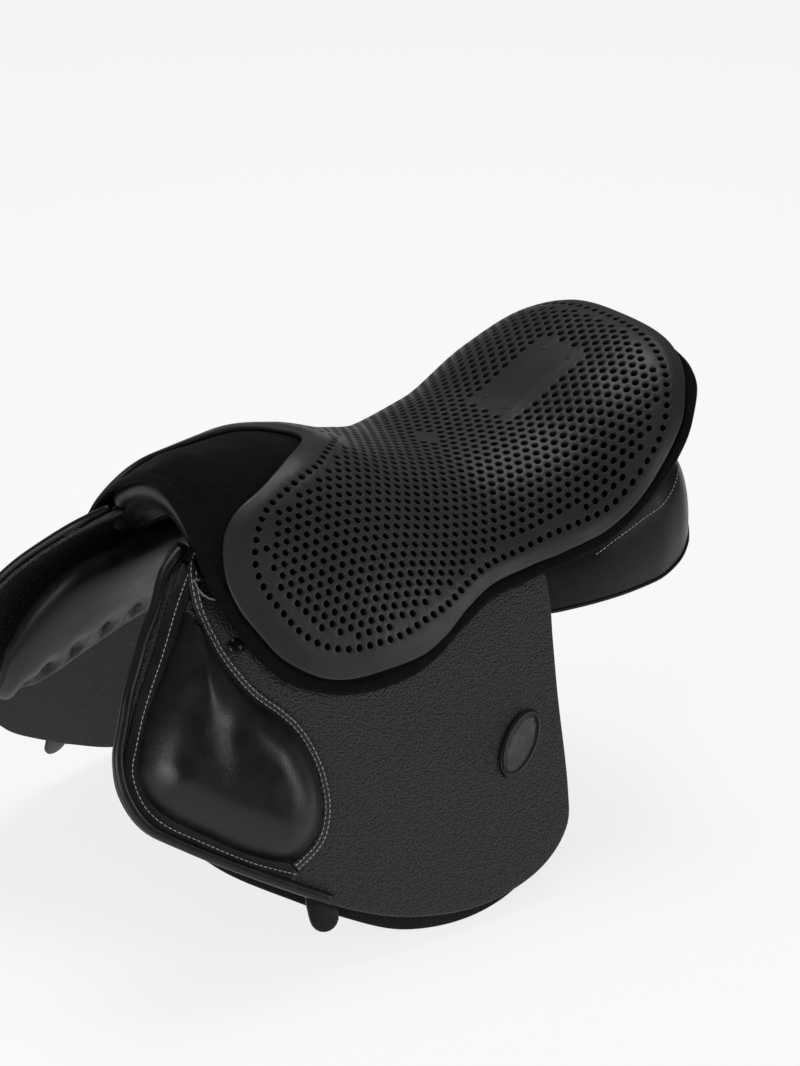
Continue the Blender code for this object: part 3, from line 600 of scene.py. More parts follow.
def linear(colour: str) -> tuple[float, float, float, float]:
    """Turns an sRGB hex colour into linear red, green, blue and alpha."""
    parts = [int(colour[i:i + 2], 16) / 255 for i in (1, 3, 5)]
    low, split, slope, offset, power = 0.04045, 12.92, 1.055, 0.055, 2.4
    red, green, blue = (c / split if c <= low else ((c + offset) / slope) ** power for c in parts)
    return red, green, blue, 1.0


def add_node(tree: bpy.types.NodeTree, kind: str, settings: dict[Any, Any] | None = None,
             links: dict[Any, Any] | None = None) -> bpy.types.Node:
    """Adds a node with its settings and links.

    Args:
        tree: the tree that it goes into.
        kind: the node's type, without the leading "ShaderNode".
        settings: values for its inputs, by name or index, or for its attributes, by name.
        links: sockets that feed its inputs, by name or index.

    Returns:
        The new node.
    """
    node = tree.nodes.new("ShaderNode" + kind)
    for key, value in (settings or {}).items():
        if isinstance(key, str) and hasattr(node, key):
            setattr(node, key, value)
        else:
            node.inputs[key].default_value = value
    for key, socket in (links or {}).items():
        tree.links.new(socket, node.inputs[key])
    return node


class Bench:
    """A new material's tree with its shader, and the few joins that every finish makes."""

    def __init__(self, name: str, **sockets: Any) -> None:
        """Makes the material and sets the shader's own sockets."""
        self.material = bpy.data.materials.new(name)
        self.material.use_nodes = True
        self.tree = self.material.node_tree
        self.tree.nodes.clear()
        self.shader = add_node(self.tree, "BsdfPrincipled",
                               {key.replace("_", " "): value for key, value in sockets.items()})
        add_node(self.tree, "OutputMaterial", links={"Surface": self.shader.outputs[0]})
        self.place = add_node(self.tree, "TexCoord").outputs["Object"]

    def add(self, kind: str, settings: dict[Any, Any] | None = None,
            links: dict[Any, Any] | None = None) -> bpy.types.Node:
        """Adds a node to the tree."""
        return add_node(self.tree, kind, settings, links)

    def noise(self, size: float, detail: float = 4.0, roughness: float = 0.55) -> Any:
        """Soft noise with features of a size in metres."""
        return self.add("TexNoise", {"Scale": 1 / size, "Detail": detail, "Roughness": roughness},
                        {"Vector": self.place}).outputs[0]

    def cells(self, size: float, feature: str = "F1", smooth: float = 0.0) -> Any:
        """Distance to the middles, or to the edges, of cells of a size in metres."""
        settings: dict[Any, Any] = {"feature": feature, "Scale": 1 / size}
        if feature == "SMOOTH_F1":
            settings["Smoothness"] = smooth
        return self.add("TexVoronoi", settings, {"Vector": self.place}).outputs["Distance"]

    def remap(self, source: Any, low: float, high: float, to_low: float, to_high: float) -> Any:
        """A value moved from one span to another."""
        return self.add("MapRange", {1: low, 2: high, 3: to_low, 4: to_high},
                        {0: source}).outputs[0]

    def shade(self, source: Any, dark: str, light: str) -> None:
        """Feeds the base colour from one hex colour to another by a value from 0 to 1."""
        ramp = self.add("ValToRGB", links={0: source})
        ramp.color_ramp.elements[0].color = linear(dark)
        ramp.color_ramp.elements[1].color = linear(light)
        self.feed("Base Color", ramp.outputs[0])

    def feed(self, socket: str, source: Any) -> None:
        """Links a value or colour into the shader."""
        self.tree.links.new(source, self.shader.inputs[socket])

    def emboss(self, layers: Sequence[tuple[Any, float, float]]) -> None:
        """Chains bumps, each a height, its strength and its depth in metres."""
        above = None
        for height, strength, depth in layers:
            bump = self.add("Bump", {"Strength": strength, "Distance": depth}, {"Height": height})
            if above is not None:
                self.tree.links.new(above, bump.inputs["Normal"])
            above = bump.outputs[0]
        self.feed("Normal", above)


@dataclass(frozen=True)
class MouldedGel:
    """Black silicone gel, poured in a polished mould: an even satin skin, faintly greyer in places."""

    dark: str = "#212122"
    light: str = "#2a2a2c"
    cloud: float = 60 * MM
    skin: float = 0.9 * MM

    def make(self) -> bpy.types.Material:
        """Makes the material."""
        bench = Bench("moulded_gel", IOR=1.41, Roughness=0.42)
        cloud = bench.noise(self.cloud, 2.0)
        bench.shade(bench.remap(cloud, 0.3, 0.7, 0, 1), self.dark, self.light)
        bench.feed("Roughness", bench.remap(bench.noise(12 * MM, 3.0), 0.3, 0.7, 0.38, 0.47))
        bench.emboss([(bench.noise(self.skin, 2.0), 0.10, 0.05 * MM)])
        return bench.material


@dataclass(frozen=True)
class KnittedCover:
    """Black knitted polyester: matt, with a faint pile that lightens its edges."""

    dark: str = "#060607"
    light: str = "#0f0f10"
    loop: float = 1.1 * MM

    def make(self) -> bpy.types.Material:
        """Makes the material."""
        bench = Bench("knitted_cover", Roughness=0.92, Specular_IOR_Level=0.12,
                      Sheen_Weight=0.03, Sheen_Roughness=0.4)
        loops = bench.cells(self.loop)
        bench.shade(bench.remap(bench.noise(9 * MM, 5.0), 0.3, 0.7, 0, 1), self.dark, self.light)
        bench.emboss([(bench.noise(26 * MM, 2.0), 0.35, 1.2 * MM), (loops, 0.5, 0.3 * MM)])
        return bench.material


@dataclass(frozen=True)
class SmoothCalf:
    """Black calf leather, drum dyed and waxed: soft gloss, fine pores and short creases."""

    name: str = "smooth_calf"
    dark: str = "#080809"
    light: str = "#121213"
    pore: float = 0.9 * MM
    crease: float = 5.5 * MM
    rough_low: float = 0.26
    rough_high: float = 0.40
    shine: float = 0.36

    def make(self) -> bpy.types.Material:
        """Makes the material."""
        bench = Bench(self.name, IOR=1.5, Roughness=0.36, Specular_IOR_Level=self.shine)
        wear = bench.noise(18 * MM, 5.0)
        bench.shade(bench.remap(wear, 0.3, 0.75, 0, 1), self.dark, self.light)
        bench.feed("Roughness", bench.remap(wear, 0.3, 0.7, self.rough_low, self.rough_high))
        pores = bench.cells(self.pore, "SMOOTH_F1", 0.4)
        creases = bench.cells(self.crease, "DISTANCE_TO_EDGE")
        fold = bench.remap(creases, 0.0, 0.06, 0, 1)
        bench.emboss([(fold, 0.10, 0.25 * MM), (pores, 0.30, 0.22 * MM)])
        return bench.material


@dataclass(frozen=True)
class PebbledHide:
    """Black cowhide embossed with a pebble grain: small domes that glint, dull valleys."""

    name: str = "pebbled_hide"
    valley: str = "#0b0b0c"
    dome: str = "#1a1a1c"
    pebble: float = 1.9 * MM
    shine: float = 0.55

    def make(self) -> bpy.types.Material:
        """Makes the material."""
        bench = Bench(self.name, IOR=1.5, Roughness=0.42, Specular_IOR_Level=self.shine)
        warp = bench.noise(3.5 * MM, 2.0)
        domes = bench.cells(self.pebble, "SMOOTH_F1", 0.35)
        height = bench.remap(domes, 0.05, 0.75, 1, 0)
        bench.shade(height, self.valley, self.dome)
        bench.feed("Roughness", bench.remap(height, 0, 1, 0.62, 0.36))
        bench.emboss([(warp, 0.35, 0.6 * MM), (height, 0.95, 0.75 * MM)])
        return bench.material


@dataclass(frozen=True)
class WaxedThread:
    """Waxed linen thread, laid in two strands with darker turns: pale grey when it is undyed."""

    name: str = "waxed_thread"
    dark: str = "#8d8a84"
    light: str = "#d6d3cc"
    twist: float = 0.9 * MM

    def make(self) -> bpy.types.Material:
        """Makes the material."""
        bench = Bench(self.name, Roughness=0.62)
        turns = bench.add("TexWave", {"Scale": 0.5 / self.twist, "Distortion": 1.5},
                          {"Vector": bench.place}).outputs["Fac"]
        bench.shade(turns, self.dark, self.light)
        bench.emboss([(turns, 0.4, 0.15 * MM)])
        return bench.material


@dataclass(frozen=True)
class PolishedSteel:
    """Forged stainless steel, buffed: bright, with hairlines from the wheel."""

    name: str = "polished_steel"
    dark: str = "#b4b5b8"
    light: str = "#dcdcde"
    rough_low: float = 0.14
    rough_high: float = 0.26

    def make(self) -> bpy.types.Material:
        """Makes the material."""
        bench = Bench(self.name, Metallic=1.0, Roughness=0.2)
        haze = bench.noise(6 * MM, 5.0)
        bench.shade(haze, self.dark, self.light)
        bench.feed("Roughness", bench.remap(haze, 0.3, 0.7, self.rough_low, self.rough_high))
        bench.emboss([(bench.noise(0.8 * MM, 3.0), 0.08, 0.05 * MM)])
        return bench.material


@dataclass(frozen=True)
class LaminatedBeech:
    """Beech plies glued and moulded: pale brown wood with long grain and short flecks."""

    dark: str = "#8a6238"
    light: str = "#c79b64"
    grain: float = 4 * MM

    def make(self) -> bpy.types.Material:
        """Makes the material."""
        bench = Bench("laminated_beech", Roughness=0.55)
        stretched = bench.add("Mapping", {"Scale": (1.0, 0.12, 1.0)}, {"Vector": bench.place})
        grain = bench.add("TexNoise", {"Scale": 1 / self.grain, "Detail": 6.0},
                          {"Vector": stretched.outputs[0]}).outputs[0]
        bench.shade(bench.remap(grain, 0.3, 0.7, 0, 1), self.dark, self.light)
        bench.feed("Roughness", bench.remap(grain, 0.3, 0.7, 0.48, 0.64))
        bench.emboss([(grain, 0.25, 0.3 * MM)])
        return bench.material


@dataclass(frozen=True)
class SeatFoam:
    """Cut latex foam: cream, matt, pitted with open pores."""

    dark: str = "#b8a678"
    light: str = "#dccfa6"
    pore: float = 2.2 * MM

    def make(self) -> bpy.types.Material:
        """Makes the material."""
        bench = Bench("seat_foam", Roughness=0.95)
        pores = bench.cells(self.pore)
        bench.shade(bench.remap(pores, 0.1, 0.7, 0, 1), self.dark, self.light)
        bench.emboss([(pores, 0.6, 0.6 * MM)])
        return bench.material


@dataclass(frozen=True)
class FlaxWebbing:
    """Woven flax girth web: cream yarns over and under each other about every 2 mm."""

    dark: str = "#8f8468"
    light: str = "#c9bf9f"
    yarn: float = 2.0 * MM

    def make(self) -> bpy.types.Material:
        """Makes the material."""
        bench = Bench("flax_webbing", Roughness=0.85)
        spin = {"Scale": 0.16 / self.yarn, "Distortion": 0.4}
        warp = bench.add("TexWave", {**spin, "bands_direction": "Y"}, {"Vector": bench.place})
        weft = bench.add("TexWave", {**spin, "bands_direction": "X"}, {"Vector": bench.place})
        weave = bench.add("Math", {"operation": "MULTIPLY"},
                          {0: warp.outputs["Fac"], 1: weft.outputs["Fac"]}).outputs[0]
        bench.shade(weave, self.dark, self.light)
        bench.emboss([(weave, 0.6, 0.4 * MM)])
        return bench.material


@dataclass(frozen=True)
class PaintedFloor:
    """A matt grey floor that also glows: even and almost white, with soft shadows only."""

    shade: str = "#8f8f8f"
    light: str = "#f5f5f5"
    glow: float = 0.87

    def make(self) -> bpy.types.Material:
        """Makes the material."""
        bench = Bench("painted_floor", Roughness=0.9)
        bench.shader.inputs["Base Color"].default_value = linear(self.shade)
        bench.shader.inputs["Emission Color"].default_value = linear(self.light)
        bench.shader.inputs["Emission Strength"].default_value = self.glow
        bench.emboss([(bench.noise(40 * MM, 2.0), 0.02, 0.1 * MM)])
        return bench.material


class Finish(Enum):
    """The finishes of the saddle, each with the record's slot that it stands for."""

    GEL = (MouldedGel(), "gel")
    COVER = (KnittedCover(), "cover_fabric")
    CALF = (SmoothCalf(), "smooth_leather")
    # Painted shade: the panels, pockets and welt are their own leather, but this copy of the calf gets
    # darker colours and less shine to stand in for the shade under the arch.
    PANEL_PAINTED_SHADE = (SmoothCalf("panel_calf_painted_shade", "#070708", "#101011", 0.8 * MM, 7.5 * MM, 0.28, 0.42, 0.17),
             "panel_leather")
    HIDE = (PebbledHide(), "grained_leather")
    # Partly painted shade: the sweat flaps' hide really has a finer, duller grain, and its darker colours
    # also stand in for the shade on the off side.
    LINING_PAINTED_SHADE = (PebbledHide("lining_hide_painted_shade", "#080809", "#111112", 1.1 * MM, 0.22), "grained_leather")
    THREAD = (WaxedThread(), None)
    BLACK_THREAD = (WaxedThread("black_thread", "#0c0c0c", "#1d1d1e"), None)
    BRIGHT = (PolishedSteel(), "bright_steel")
    NAIL = (PolishedSteel("black_nickel", "#17171a", "#26262a", 0.16, 0.30), "bright_steel")
    PLATE = (PolishedSteel("blued_steel", "#3a3c40", "#595c61", 0.32, 0.5), "plate_steel")
    BEECH = (LaminatedBeech(), "laminated_wood")
    FOAM = (SeatFoam(), "foam")
    WEB = (FlaxWebbing(), "webbing")

    def made(self) -> bpy.types.Material:
        """The finish's material, made the first time that it is asked for."""
        if self.name not in MADE:
            MADE[self.name] = self.value[0].make()
        return MADE[self.name]


MADE: dict[str, bpy.types.Material] = {}


# ---------------------------------------------------------------------------------------------
# Common ground of the pieces
# ---------------------------------------------------------------------------------------------

SEAT = SeatSurface()
SIDES = {"left": FlapSurface(1), "right": FlapSurface(-1)}
FOLD_Z = -0.008


def dress(item: bpy.types.Object, finish: Finish) -> bpy.types.Object:
    """Gives a piece its finish."""
    item.data.materials.clear()
    item.data.materials.append(finish.made())
    return item


def fix(item: bpy.types.Object, finish: Finish, body: str, *nodes: str) -> bpy.types.Object:
    """Dresses a piece, lets it ride on a body and hides the frame's nodes that it replaces."""
    dress(item, finish)
    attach(item, body)
    if nodes:
        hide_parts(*nodes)
    LOG.info("%s: %d faces, on %s", item.name, len(item.data.polygons), body)
    return item


def fold(item: bpy.types.Object, finish: Finish, name: str, *nodes: str) -> bpy.types.Object:
    """Dresses a piece of a flap and hides the frame's nodes that it replaces; the piece does not bend or
    move with the flap.

    Args:
        item: the piece.
        finish: its finish.
        name: the side, left or right.
        nodes: the frame's nodes that it replaces.

    Returns:
        The piece.
    """
    dress(item, finish)
    face = SIDES[name]
    ends = face.place(np.array([[-0.18, FOLD_Z + 0.012], [-0.18, FOLD_Z - 0.012]]), np.zeros(2))
    tuple(ends[0])
    tuple(ends[1])
    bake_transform(item)
    if nodes:
        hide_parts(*nodes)
    LOG.info("%s: %d faces, folds with flap_%s", item.name, len(item.data.polygons), name)
    return item


def smooth_step(value: Array, low: float, high: float) -> Array:
    """Rises from 0 at low to 1 at high, level at both ends."""
    t = np.clip((value - low) / (high - low), 0, 1)
    return t * t * (3 - 2 * t)


def ripple(points: Array, size: float, seed: float) -> Array:
    """Smooth noise from -1 to 1 at points, with features of a size in metres."""
    return np.array([noise.noise(Vector(p) / size + Vector((seed, 0, 0))) for p in points])


# ---------------------------------------------------------------------------------------------
# Sub-assemblies
# ---------------------------------------------------------------------------------------------

@dataclass
class SeatSaver:
    """The perforated gel pad on its knitted cover, which lifts off the saddle as one."""

    gel_edge: Spots = ((0.0, -0.125), (0.029, -0.145), (0.061, -0.198), (0.081, -0.244),
                       (0.108, -0.260), (0.135, -0.261), (0.165, -0.252), (0.200, -0.235),
                       (0.225, -0.205), (0.234, -0.165), (0.228, -0.123), (0.2135, -0.0966),
                       (0.190, -0.068), (0.172, -0.035), (0.166, 0.0), (0.168, 0.03),
                       (0.171, 0.075), (0.168, 0.119), (0.146, 0.163), (0.122, 0.184),
                       (0.095, 0.200), (0.055, 0.212), (0.0, 0.217))
    row_edge: Spots = ((0.0, -0.092), (0.020, -0.104), (0.0386, -0.124), (0.0585, -0.1482),
                       (0.0709, -0.1795), (0.0824, -0.2075), (0.1000, -0.2260),
                       (0.1201, -0.2365), (0.1403, -0.2363), (0.1603, -0.2294),
                       (0.1808, -0.2198), (0.1965, -0.2055), (0.2062, -0.1889),
                       (0.2111, -0.1705), (0.2114, -0.1517), (0.2085, -0.1337),
                       (0.2010, -0.1150), (0.1890, -0.0900), (0.1700, -0.0620),
                       (0.1550, -0.0299), (0.1500, 0.0152), (0.1530, 0.0529), (0.1560, 0.0823),
                       (0.1540, 0.1100), (0.1450, 0.1370), (0.1310, 0.1555), (0.1115, 0.1705),
                       (0.0850, 0.1845), (0.0450, 0.1945), (0.0, 0.1975))
    hem_edge: Spots = ((0.0, -0.270), (0.040, -0.272), (0.077, -0.275), (0.101, -0.276),
                       (0.119, -0.274), (0.142, -0.2695), (0.165, -0.263), (0.184, -0.256),
                       (0.206, -0.2445), (0.222, -0.231), (0.236, -0.208), (0.245, -0.183),
                       (0.248, -0.157), (0.242, -0.128), (0.229, -0.103), (0.205, -0.073),
                       (0.1845, -0.038), (0.177, 0.0), (0.178, 0.03), (0.181, 0.075),
                       (0.178, 0.125), (0.160, 0.166), (0.135, 0.192), (0.108, 0.211),
                       (0.067, 0.226), (0.0, 0.233))
    pitch: float = 9.3 * MM
    hole_radius: float = 2.85 * MM
    row_gap: float = 8.9 * MM
    plate_half: float = 21 * MM
    plate_from: float = 0.073
    plate_to: float = 0.146
    mark_at: tuple[float, float] = (0.0, 0.004)
    studs: Spots = ((-0.014, 0.139), (0.017, 0.140), (-0.016, 0.080), (0.015, 0.079))
    stud_radius: float = 2.6 * MM
    gel_thickness: float = 6.2 * MM
    hem_width: float = 11 * MM

    def hole_centres(self) -> Array:
        """Centres of the edge row and of the field of holes inside it, as (s, y)."""
        row = curve_through(mirrored(self.row_edge), self.pitch)
        turn = self.pitch * math.sqrt(3) / 2
        columns = np.arange(-32, 33)
        steps = np.arange(-34, 30)
        u, v = np.meshgrid(columns, steps)
        field_spots = np.stack([(u * turn).ravel(), ((v + 0.5 * (u % 2)) * self.pitch).ravel()], 1)
        field_spots = field_spots[inside(row, field_spots)]
        field_spots = field_spots[distance_to(row, field_spots) > self.row_gap]
        s, y = field_spots[:, 0], field_spots[:, 1]
        edge = self.hole_radius + 1.5 * MM
        on_plate = ((np.abs(s) < self.plate_half + edge) & (y > self.plate_from - edge)
                    & (y < self.plate_to + edge))
        on_mark = np.hypot(s - self.mark_at[0], y - self.mark_at[1]) < 8.5 * MM
        return np.concatenate([row, field_spots[~(on_plate | on_mark)]])

    def gel_relief(self, spots: Array, reach: Array) -> Array:
        """The border's slope to the edge, and the flat plate and ring moulded into the field."""
        fall = -1.6 * MM * (1 - smooth_step(reach, 0.0, 13 * MM))
        s, y = spots[:, 0], spots[:, 1]
        middle = (self.plate_from + self.plate_to) / 2
        half = (self.plate_to - self.plate_from) / 2
        off = np.maximum(np.abs(s) - self.plate_half, np.abs(y - middle) - half)
        plate = 0.5 * MM * (1 - smooth_step(off, -1.0 * MM, 0.5 * MM))
        ring = np.hypot(s - self.mark_at[0], y - self.mark_at[1])
        mark = 0.6 * MM * np.exp(-((ring - 5.5 * MM) / (1.1 * MM)) ** 2)
        return fall + plate + mark

    def build_gel(self) -> bpy.types.Object:
        """Makes the gel pad with its holes."""
        edge = curve_through(mirrored(self.gel_edge), 4 * MM)
        gel = Layer(edge, SEAT.place, 0.0, self.gel_thickness, 2.6 * MM, 4.2 * MM,
                    self.gel_relief, self.hole_centres(), self.hole_radius,
                    bands=(4.0 * MM, 6.0 * MM, 8.5 * MM))
        return fix(gel.build("gel_pad"), Finish.GEL, "saver", "saver_gel")

    def cover_relief(self, spots: Array, reach: Array) -> Array:
        """The rolled hem along the edge, the seam beside it and soft waves in the fabric."""
        hem = 1.5 * MM * (smooth_step(reach, 0, 2.5 * MM)
                          - smooth_step(reach, self.hem_width - 2.5 * MM, self.hem_width))
        seam = -0.5 * MM * np.exp(-((reach - self.hem_width - 1.2 * MM) / (1.0 * MM)) ** 2)
        points = np.column_stack([spots, np.zeros(len(spots))])
        front = 1 - smooth_step(spots[:, 1], -0.22, -0.09)
        waves = 1.5 * MM * ripple(points * (1.0, 0.45, 1.0), 30 * MM, 3.1)
        creases = 0.9 * MM * ripple(points * (0.5, 1.3, 1.0), 17 * MM, 9.4)
        return hem + seam + front * (waves + creases) * smooth_step(reach, 2 * MM, 20 * MM)

    def build_cover(self) -> bpy.types.Object:
        """Makes the knitted cover with its hem."""
        edge = curve_through(mirrored(self.hem_edge), 4 * MM)
        cover = Layer(edge, SEAT.place, 6.8 * MM, 8.4 * MM, 0.8 * MM, 6 * MM, self.cover_relief,
                      bands=(1.6 * MM, 2.6 * MM, 4.5 * MM, 6.5 * MM, 8.5 * MM, 9.7 * MM,
                             11 * MM, 12.2 * MM, 13.6 * MM, 16 * MM))
        item = fix(cover.build("knitted_cover"), Finish.COVER, "saver", "saver_cover")
        return item

    def build_studs(self) -> None:
        """The four small round marks at the plate's corners."""
        turn = 2 * math.pi * np.arange(20) / 20
        for k, (s, y) in enumerate(self.studs):
            edge = np.stack([s + self.stud_radius * np.cos(turn),
                             y + self.stud_radius * np.sin(turn)], 1)
            stud = Layer(edge, SEAT.place, -1.1 * MM, 0.4 * MM, 0.4 * MM, 2 * MM)
            fix(stud.build(f"gel_stud_{k + 1}"), Finish.GEL, "saver")

    def build(self) -> None:
        """Makes the whole saver."""
        self.build_gel()
        self.build_studs()
        self.build_cover()


@dataclass
class Seat:
    """The leather of the seat, the foam and webs under it, and the skirts beside it."""

    seat_edge: Spots = ((0.0, -0.266), (0.045, -0.268), (0.080, -0.262), (0.088, -0.20),
                        (0.088, -0.10), (0.100, -0.045), (0.140, -0.015), (0.168, 0.03),
                        (0.170, 0.08), (0.166, 0.125), (0.146, 0.161), (0.118, 0.181),
                        (0.065, 0.193), (0.0, 0.197))
    foam_edge: Spots = ((0.0, -0.225), (0.045, -0.222), (0.078, -0.18), (0.082, -0.10),
                        (0.095, -0.03), (0.125, 0.03), (0.138, 0.09), (0.125, 0.14),
                        (0.085, 0.185), (0.0, 0.20))
    skirt_edge: Spots = ((0.093, -0.235), (0.130, -0.243), (0.170, -0.244), (0.200, -0.232),
                         (0.222, -0.205), (0.228, -0.165), (0.218, -0.115), (0.190, -0.070),
                         (0.165, -0.040), (0.135, -0.034), (0.106, -0.054), (0.093, -0.10))

    def build(self) -> None:
        """Makes the seat's leather, foam, webs and skirts."""
        seat = Layer(curve_through(mirrored(self.seat_edge), 6 * MM), SEAT.place, 9.8 * MM,
                     11.8 * MM, 1.0 * MM, 9 * MM)
        fix(seat.build("seat_leather_cover"), Finish.CALF, "saddle", "seat_leather")
        foam = Layer(curve_through(mirrored(self.foam_edge), 8 * MM), SEAT.place, 13.4 * MM,
                     21.2 * MM, 3.5 * MM, 12 * MM, bands=(6 * MM,))
        item = fix(foam.build("foam_pad"), Finish.FOAM, "saddle", "seat_foam")
        cross = np.array([(-0.098, -0.045), (0.098, -0.045), (0.098, 0.005), (-0.098, 0.005)])
        fix(self.web("seat_web_cross", cross, 22.8 * MM), Finish.WEB, "saddle", "web_cross")
        for name, side in (("left", 1), ("right", -1)):
            strap = np.array([(0.012, -0.19), (0.050, -0.19), (0.050, 0.175), (0.012, 0.175)])
            fix(self.web("seat_web_" + name, strap * (side, 1), 25.0 * MM), Finish.WEB,
                "saddle", "web_long_" + name)
            edge = curve_through([(side * s, y) for s, y in self.skirt_edge], 5 * MM)
            skirt = Layer(edge, SEAT.place, 9.8 * MM, 11.8 * MM, 1.0 * MM, 8 * MM)
            fix(skirt.build("skirt_leather_" + name), Finish.HIDE, "saddle", "skirt_" + name)

    def web(self, name: str, corners: Array, depth: float) -> bpy.types.Object:
        """A web 0.8 mm thick between its corners."""
        edge = respaced(np.concatenate([corners, corners[:1]]), 6 * MM, True)
        return Layer(edge, SEAT.place, depth, depth + 0.8 * MM, 0.4 * MM, 9 * MM).build(name)


@dataclass
class Flap:
    """One flap: its pebbled leather, the binding and seams, the knee roll and the oval tab."""

    name: str
    flap_edge: Spots = ((-0.262, 0.112), (-0.276, 0.116), (-0.296, 0.103), (-0.318, 0.085),
                        (-0.336, 0.070), (-0.352, 0.052), (-0.363, 0.037), (-0.374, 0.015),
                        (-0.384, -0.008), (-0.386, -0.035), (-0.374, -0.062), (-0.345, -0.083),
                        (-0.300, -0.111), (-0.240, -0.144), (-0.178, -0.168), (-0.110, -0.178),
                        (-0.050, -0.169), (-0.012, -0.146), (0.0, -0.115), (0.010, -0.050),
                        (0.018, -0.006), (0.024, 0.026), (0.020, 0.050), (-0.030, 0.060),
                        (-0.120, 0.060), (-0.205, 0.060), (-0.240, 0.075))
    roll_edge: Spots = ((-0.288, 0.079), (-0.284, 0.068), (-0.2825, 0.053), (-0.2755, 0.036),
                        (-0.2635, 0.017), (-0.2475, 0.001), (-0.2355, -0.014), (-0.228, -0.034),
                        (-0.225, -0.055), (-0.228, -0.077), (-0.240, -0.096), (-0.264, -0.107),
                        (-0.294, -0.0965), (-0.331, -0.073), (-0.3535, -0.056), (-0.365, -0.040),
                        (-0.367, -0.020), (-0.360, 0.000), (-0.350, 0.018), (-0.337, 0.036),
                        (-0.321, 0.054), (-0.305, 0.069), (-0.295, 0.079))
    front_edge: Spots = ((-0.272, 0.112), (-0.296, 0.101), (-0.317, 0.083), (-0.335, 0.068),
                         (-0.350, 0.051), (-0.361, 0.036), (-0.371, 0.015), (-0.381, -0.008),
                         (-0.382, -0.034), (-0.371, -0.059), (-0.343, -0.080),
                         (-0.299, -0.107), (-0.240, -0.140))
    front_seam: Spots = ((-0.270, 0.104), (-0.292, 0.088), (-0.309, 0.073), (-0.325, 0.056),
                         (-0.341, 0.037), (-0.354, 0.017), (-0.364, -0.002), (-0.372, -0.020),
                         (-0.370, -0.042), (-0.358, -0.060), (-0.334, -0.077),
                         (-0.296, -0.101), (-0.262, -0.117))
    back_seam: Spots = ((-0.262, 0.108), (-0.274, 0.098), (-0.283, 0.077), (-0.281, 0.053),
                        (-0.274, 0.036), (-0.262, 0.017), (-0.246, 0.001), (-0.234, -0.014),
                        (-0.226, -0.034), (-0.223, -0.055), (-0.226, -0.078), (-0.238, -0.098),
                        (-0.262, -0.112))
    roll_height: float = 25 * MM
    roll_slope: float = 0.040
    tab_centre: tuple[float, float] = (-0.038, -0.072)
    tab_long: float = 29 * MM
    tab_short: float = 15 * MM
    tab_tilt: float = math.radians(42)
    seam: Seam = field(default_factory=Seam)

    @property
    def face(self) -> FlapSurface:
        """The design surface of this side."""
        return SIDES[self.name]

    def build_leather(self) -> None:
        """The pebbled leather of the flap, from under the skirt to its lower edge."""
        edge = curve_through(self.flap_edge, 5 * MM)
        sheet = Layer(edge, self.face.place, 0.0, 4.0 * MM, 1.6 * MM, 7 * MM)
        item = sheet.build("flap_leather_" + self.name)
        fold(item, Finish.HIDE, self.name, "flap_top_" + self.name, "flap_" + self.name)

    def roll_relief(self, spots: Array, reach: Array) -> Array:
        """The stuffed form: steep by the seams, full in the middle, with a shallow vale."""
        rise = np.clip(reach / self.roll_slope, 0, 1)
        full = self.roll_height * (1 - (1 - rise) ** 2.4)
        y, z = spots[:, 0], spots[:, 1]
        vale = np.exp(-((y + 0.292 - 0.16 * z) / 0.013) ** 2) * smooth_step(reach, 0.004, 0.02)
        points = np.column_stack([spots, np.zeros(len(spots))])
        waves = 0.7 * MM * ripple(points, 26 * MM, 7.0) * smooth_step(reach, 0.004, 0.02)
        return full - 3.4 * MM * vale * smooth_step(z, -0.07, 0.01) + waves

    def build_roll(self) -> None:
        """The knee roll, a long cushion between the double seam and the front binding."""
        edge = curve_through(self.roll_edge, 4 * MM)
        roll = Layer(edge, self.face.place, -1.0 * MM, -0.2 * MM, 0.4 * MM, 3.6 * MM,
                     self.roll_relief, bands=(1.2 * MM, 2.5 * MM, 4 * MM, 6 * MM, 8.5 * MM))
        item = roll.build("knee_roll_leather_" + self.name)
        fold(item, Finish.CALF, self.name, "knee_roll_top_" + self.name, "knee_roll_" + self.name)

    def band(self, name: str, line: Array, width: float, height: float,
             finish: Finish) -> bpy.types.Object:
        """A flat raised strip of leather along a line on the flap.

        Args:
            name: the piece's name, before the side.
            line: spots along its middle.
            width: its width.
            height: how far it stands proud.
            finish: its finish.

        Returns:
            The new piece.
        """
        path = self.face.place(line, -height / 2)
        item = tube(f"{name}_{self.name}", path, np.array([width / 2, height / 2]),
                    self.face.normal(line), 16)
        return fold(item, finish, self.name)

    def build_edges(self) -> None:
        """The rolled front binding, the strip under the double seam and all the stitches."""
        front = curve_through(self.front_edge, 4 * MM, False)
        self.band("front_binding", front, 9 * MM, 7 * MM, Finish.CALF)
        strip = curve_through(self.front_seam, 4 * MM, False)
        self.band("front_strip", strip, 15 * MM, 1.4 * MM, Finish.CALF)
        inner = curve_through(self.front_seam, 4 * MM, False)
        back = curve_through(self.back_seam, 4 * MM, False)
        self.band("seam_strip", back, 9 * MM, 3.0 * MM, Finish.HIDE)
        across = np.gradient(back, axis=0)
        across /= np.linalg.norm(across, axis=1, keepdims=True)
        across = np.stack([-across[:, 1], across[:, 0]], 1)
        rows = [back + across * 1.7 * MM, back - across * 1.7 * MM]
        item = self.seam.sew("double_seam_" + self.name, rows, self.face.place, 3.1 * MM)
        fold(item, Finish.THREAD, self.name)
        item = self.seam.sew("front_seam_" + self.name, [inner], self.face.place, 1.6 * MM)
        fold(item, Finish.THREAD, self.name)

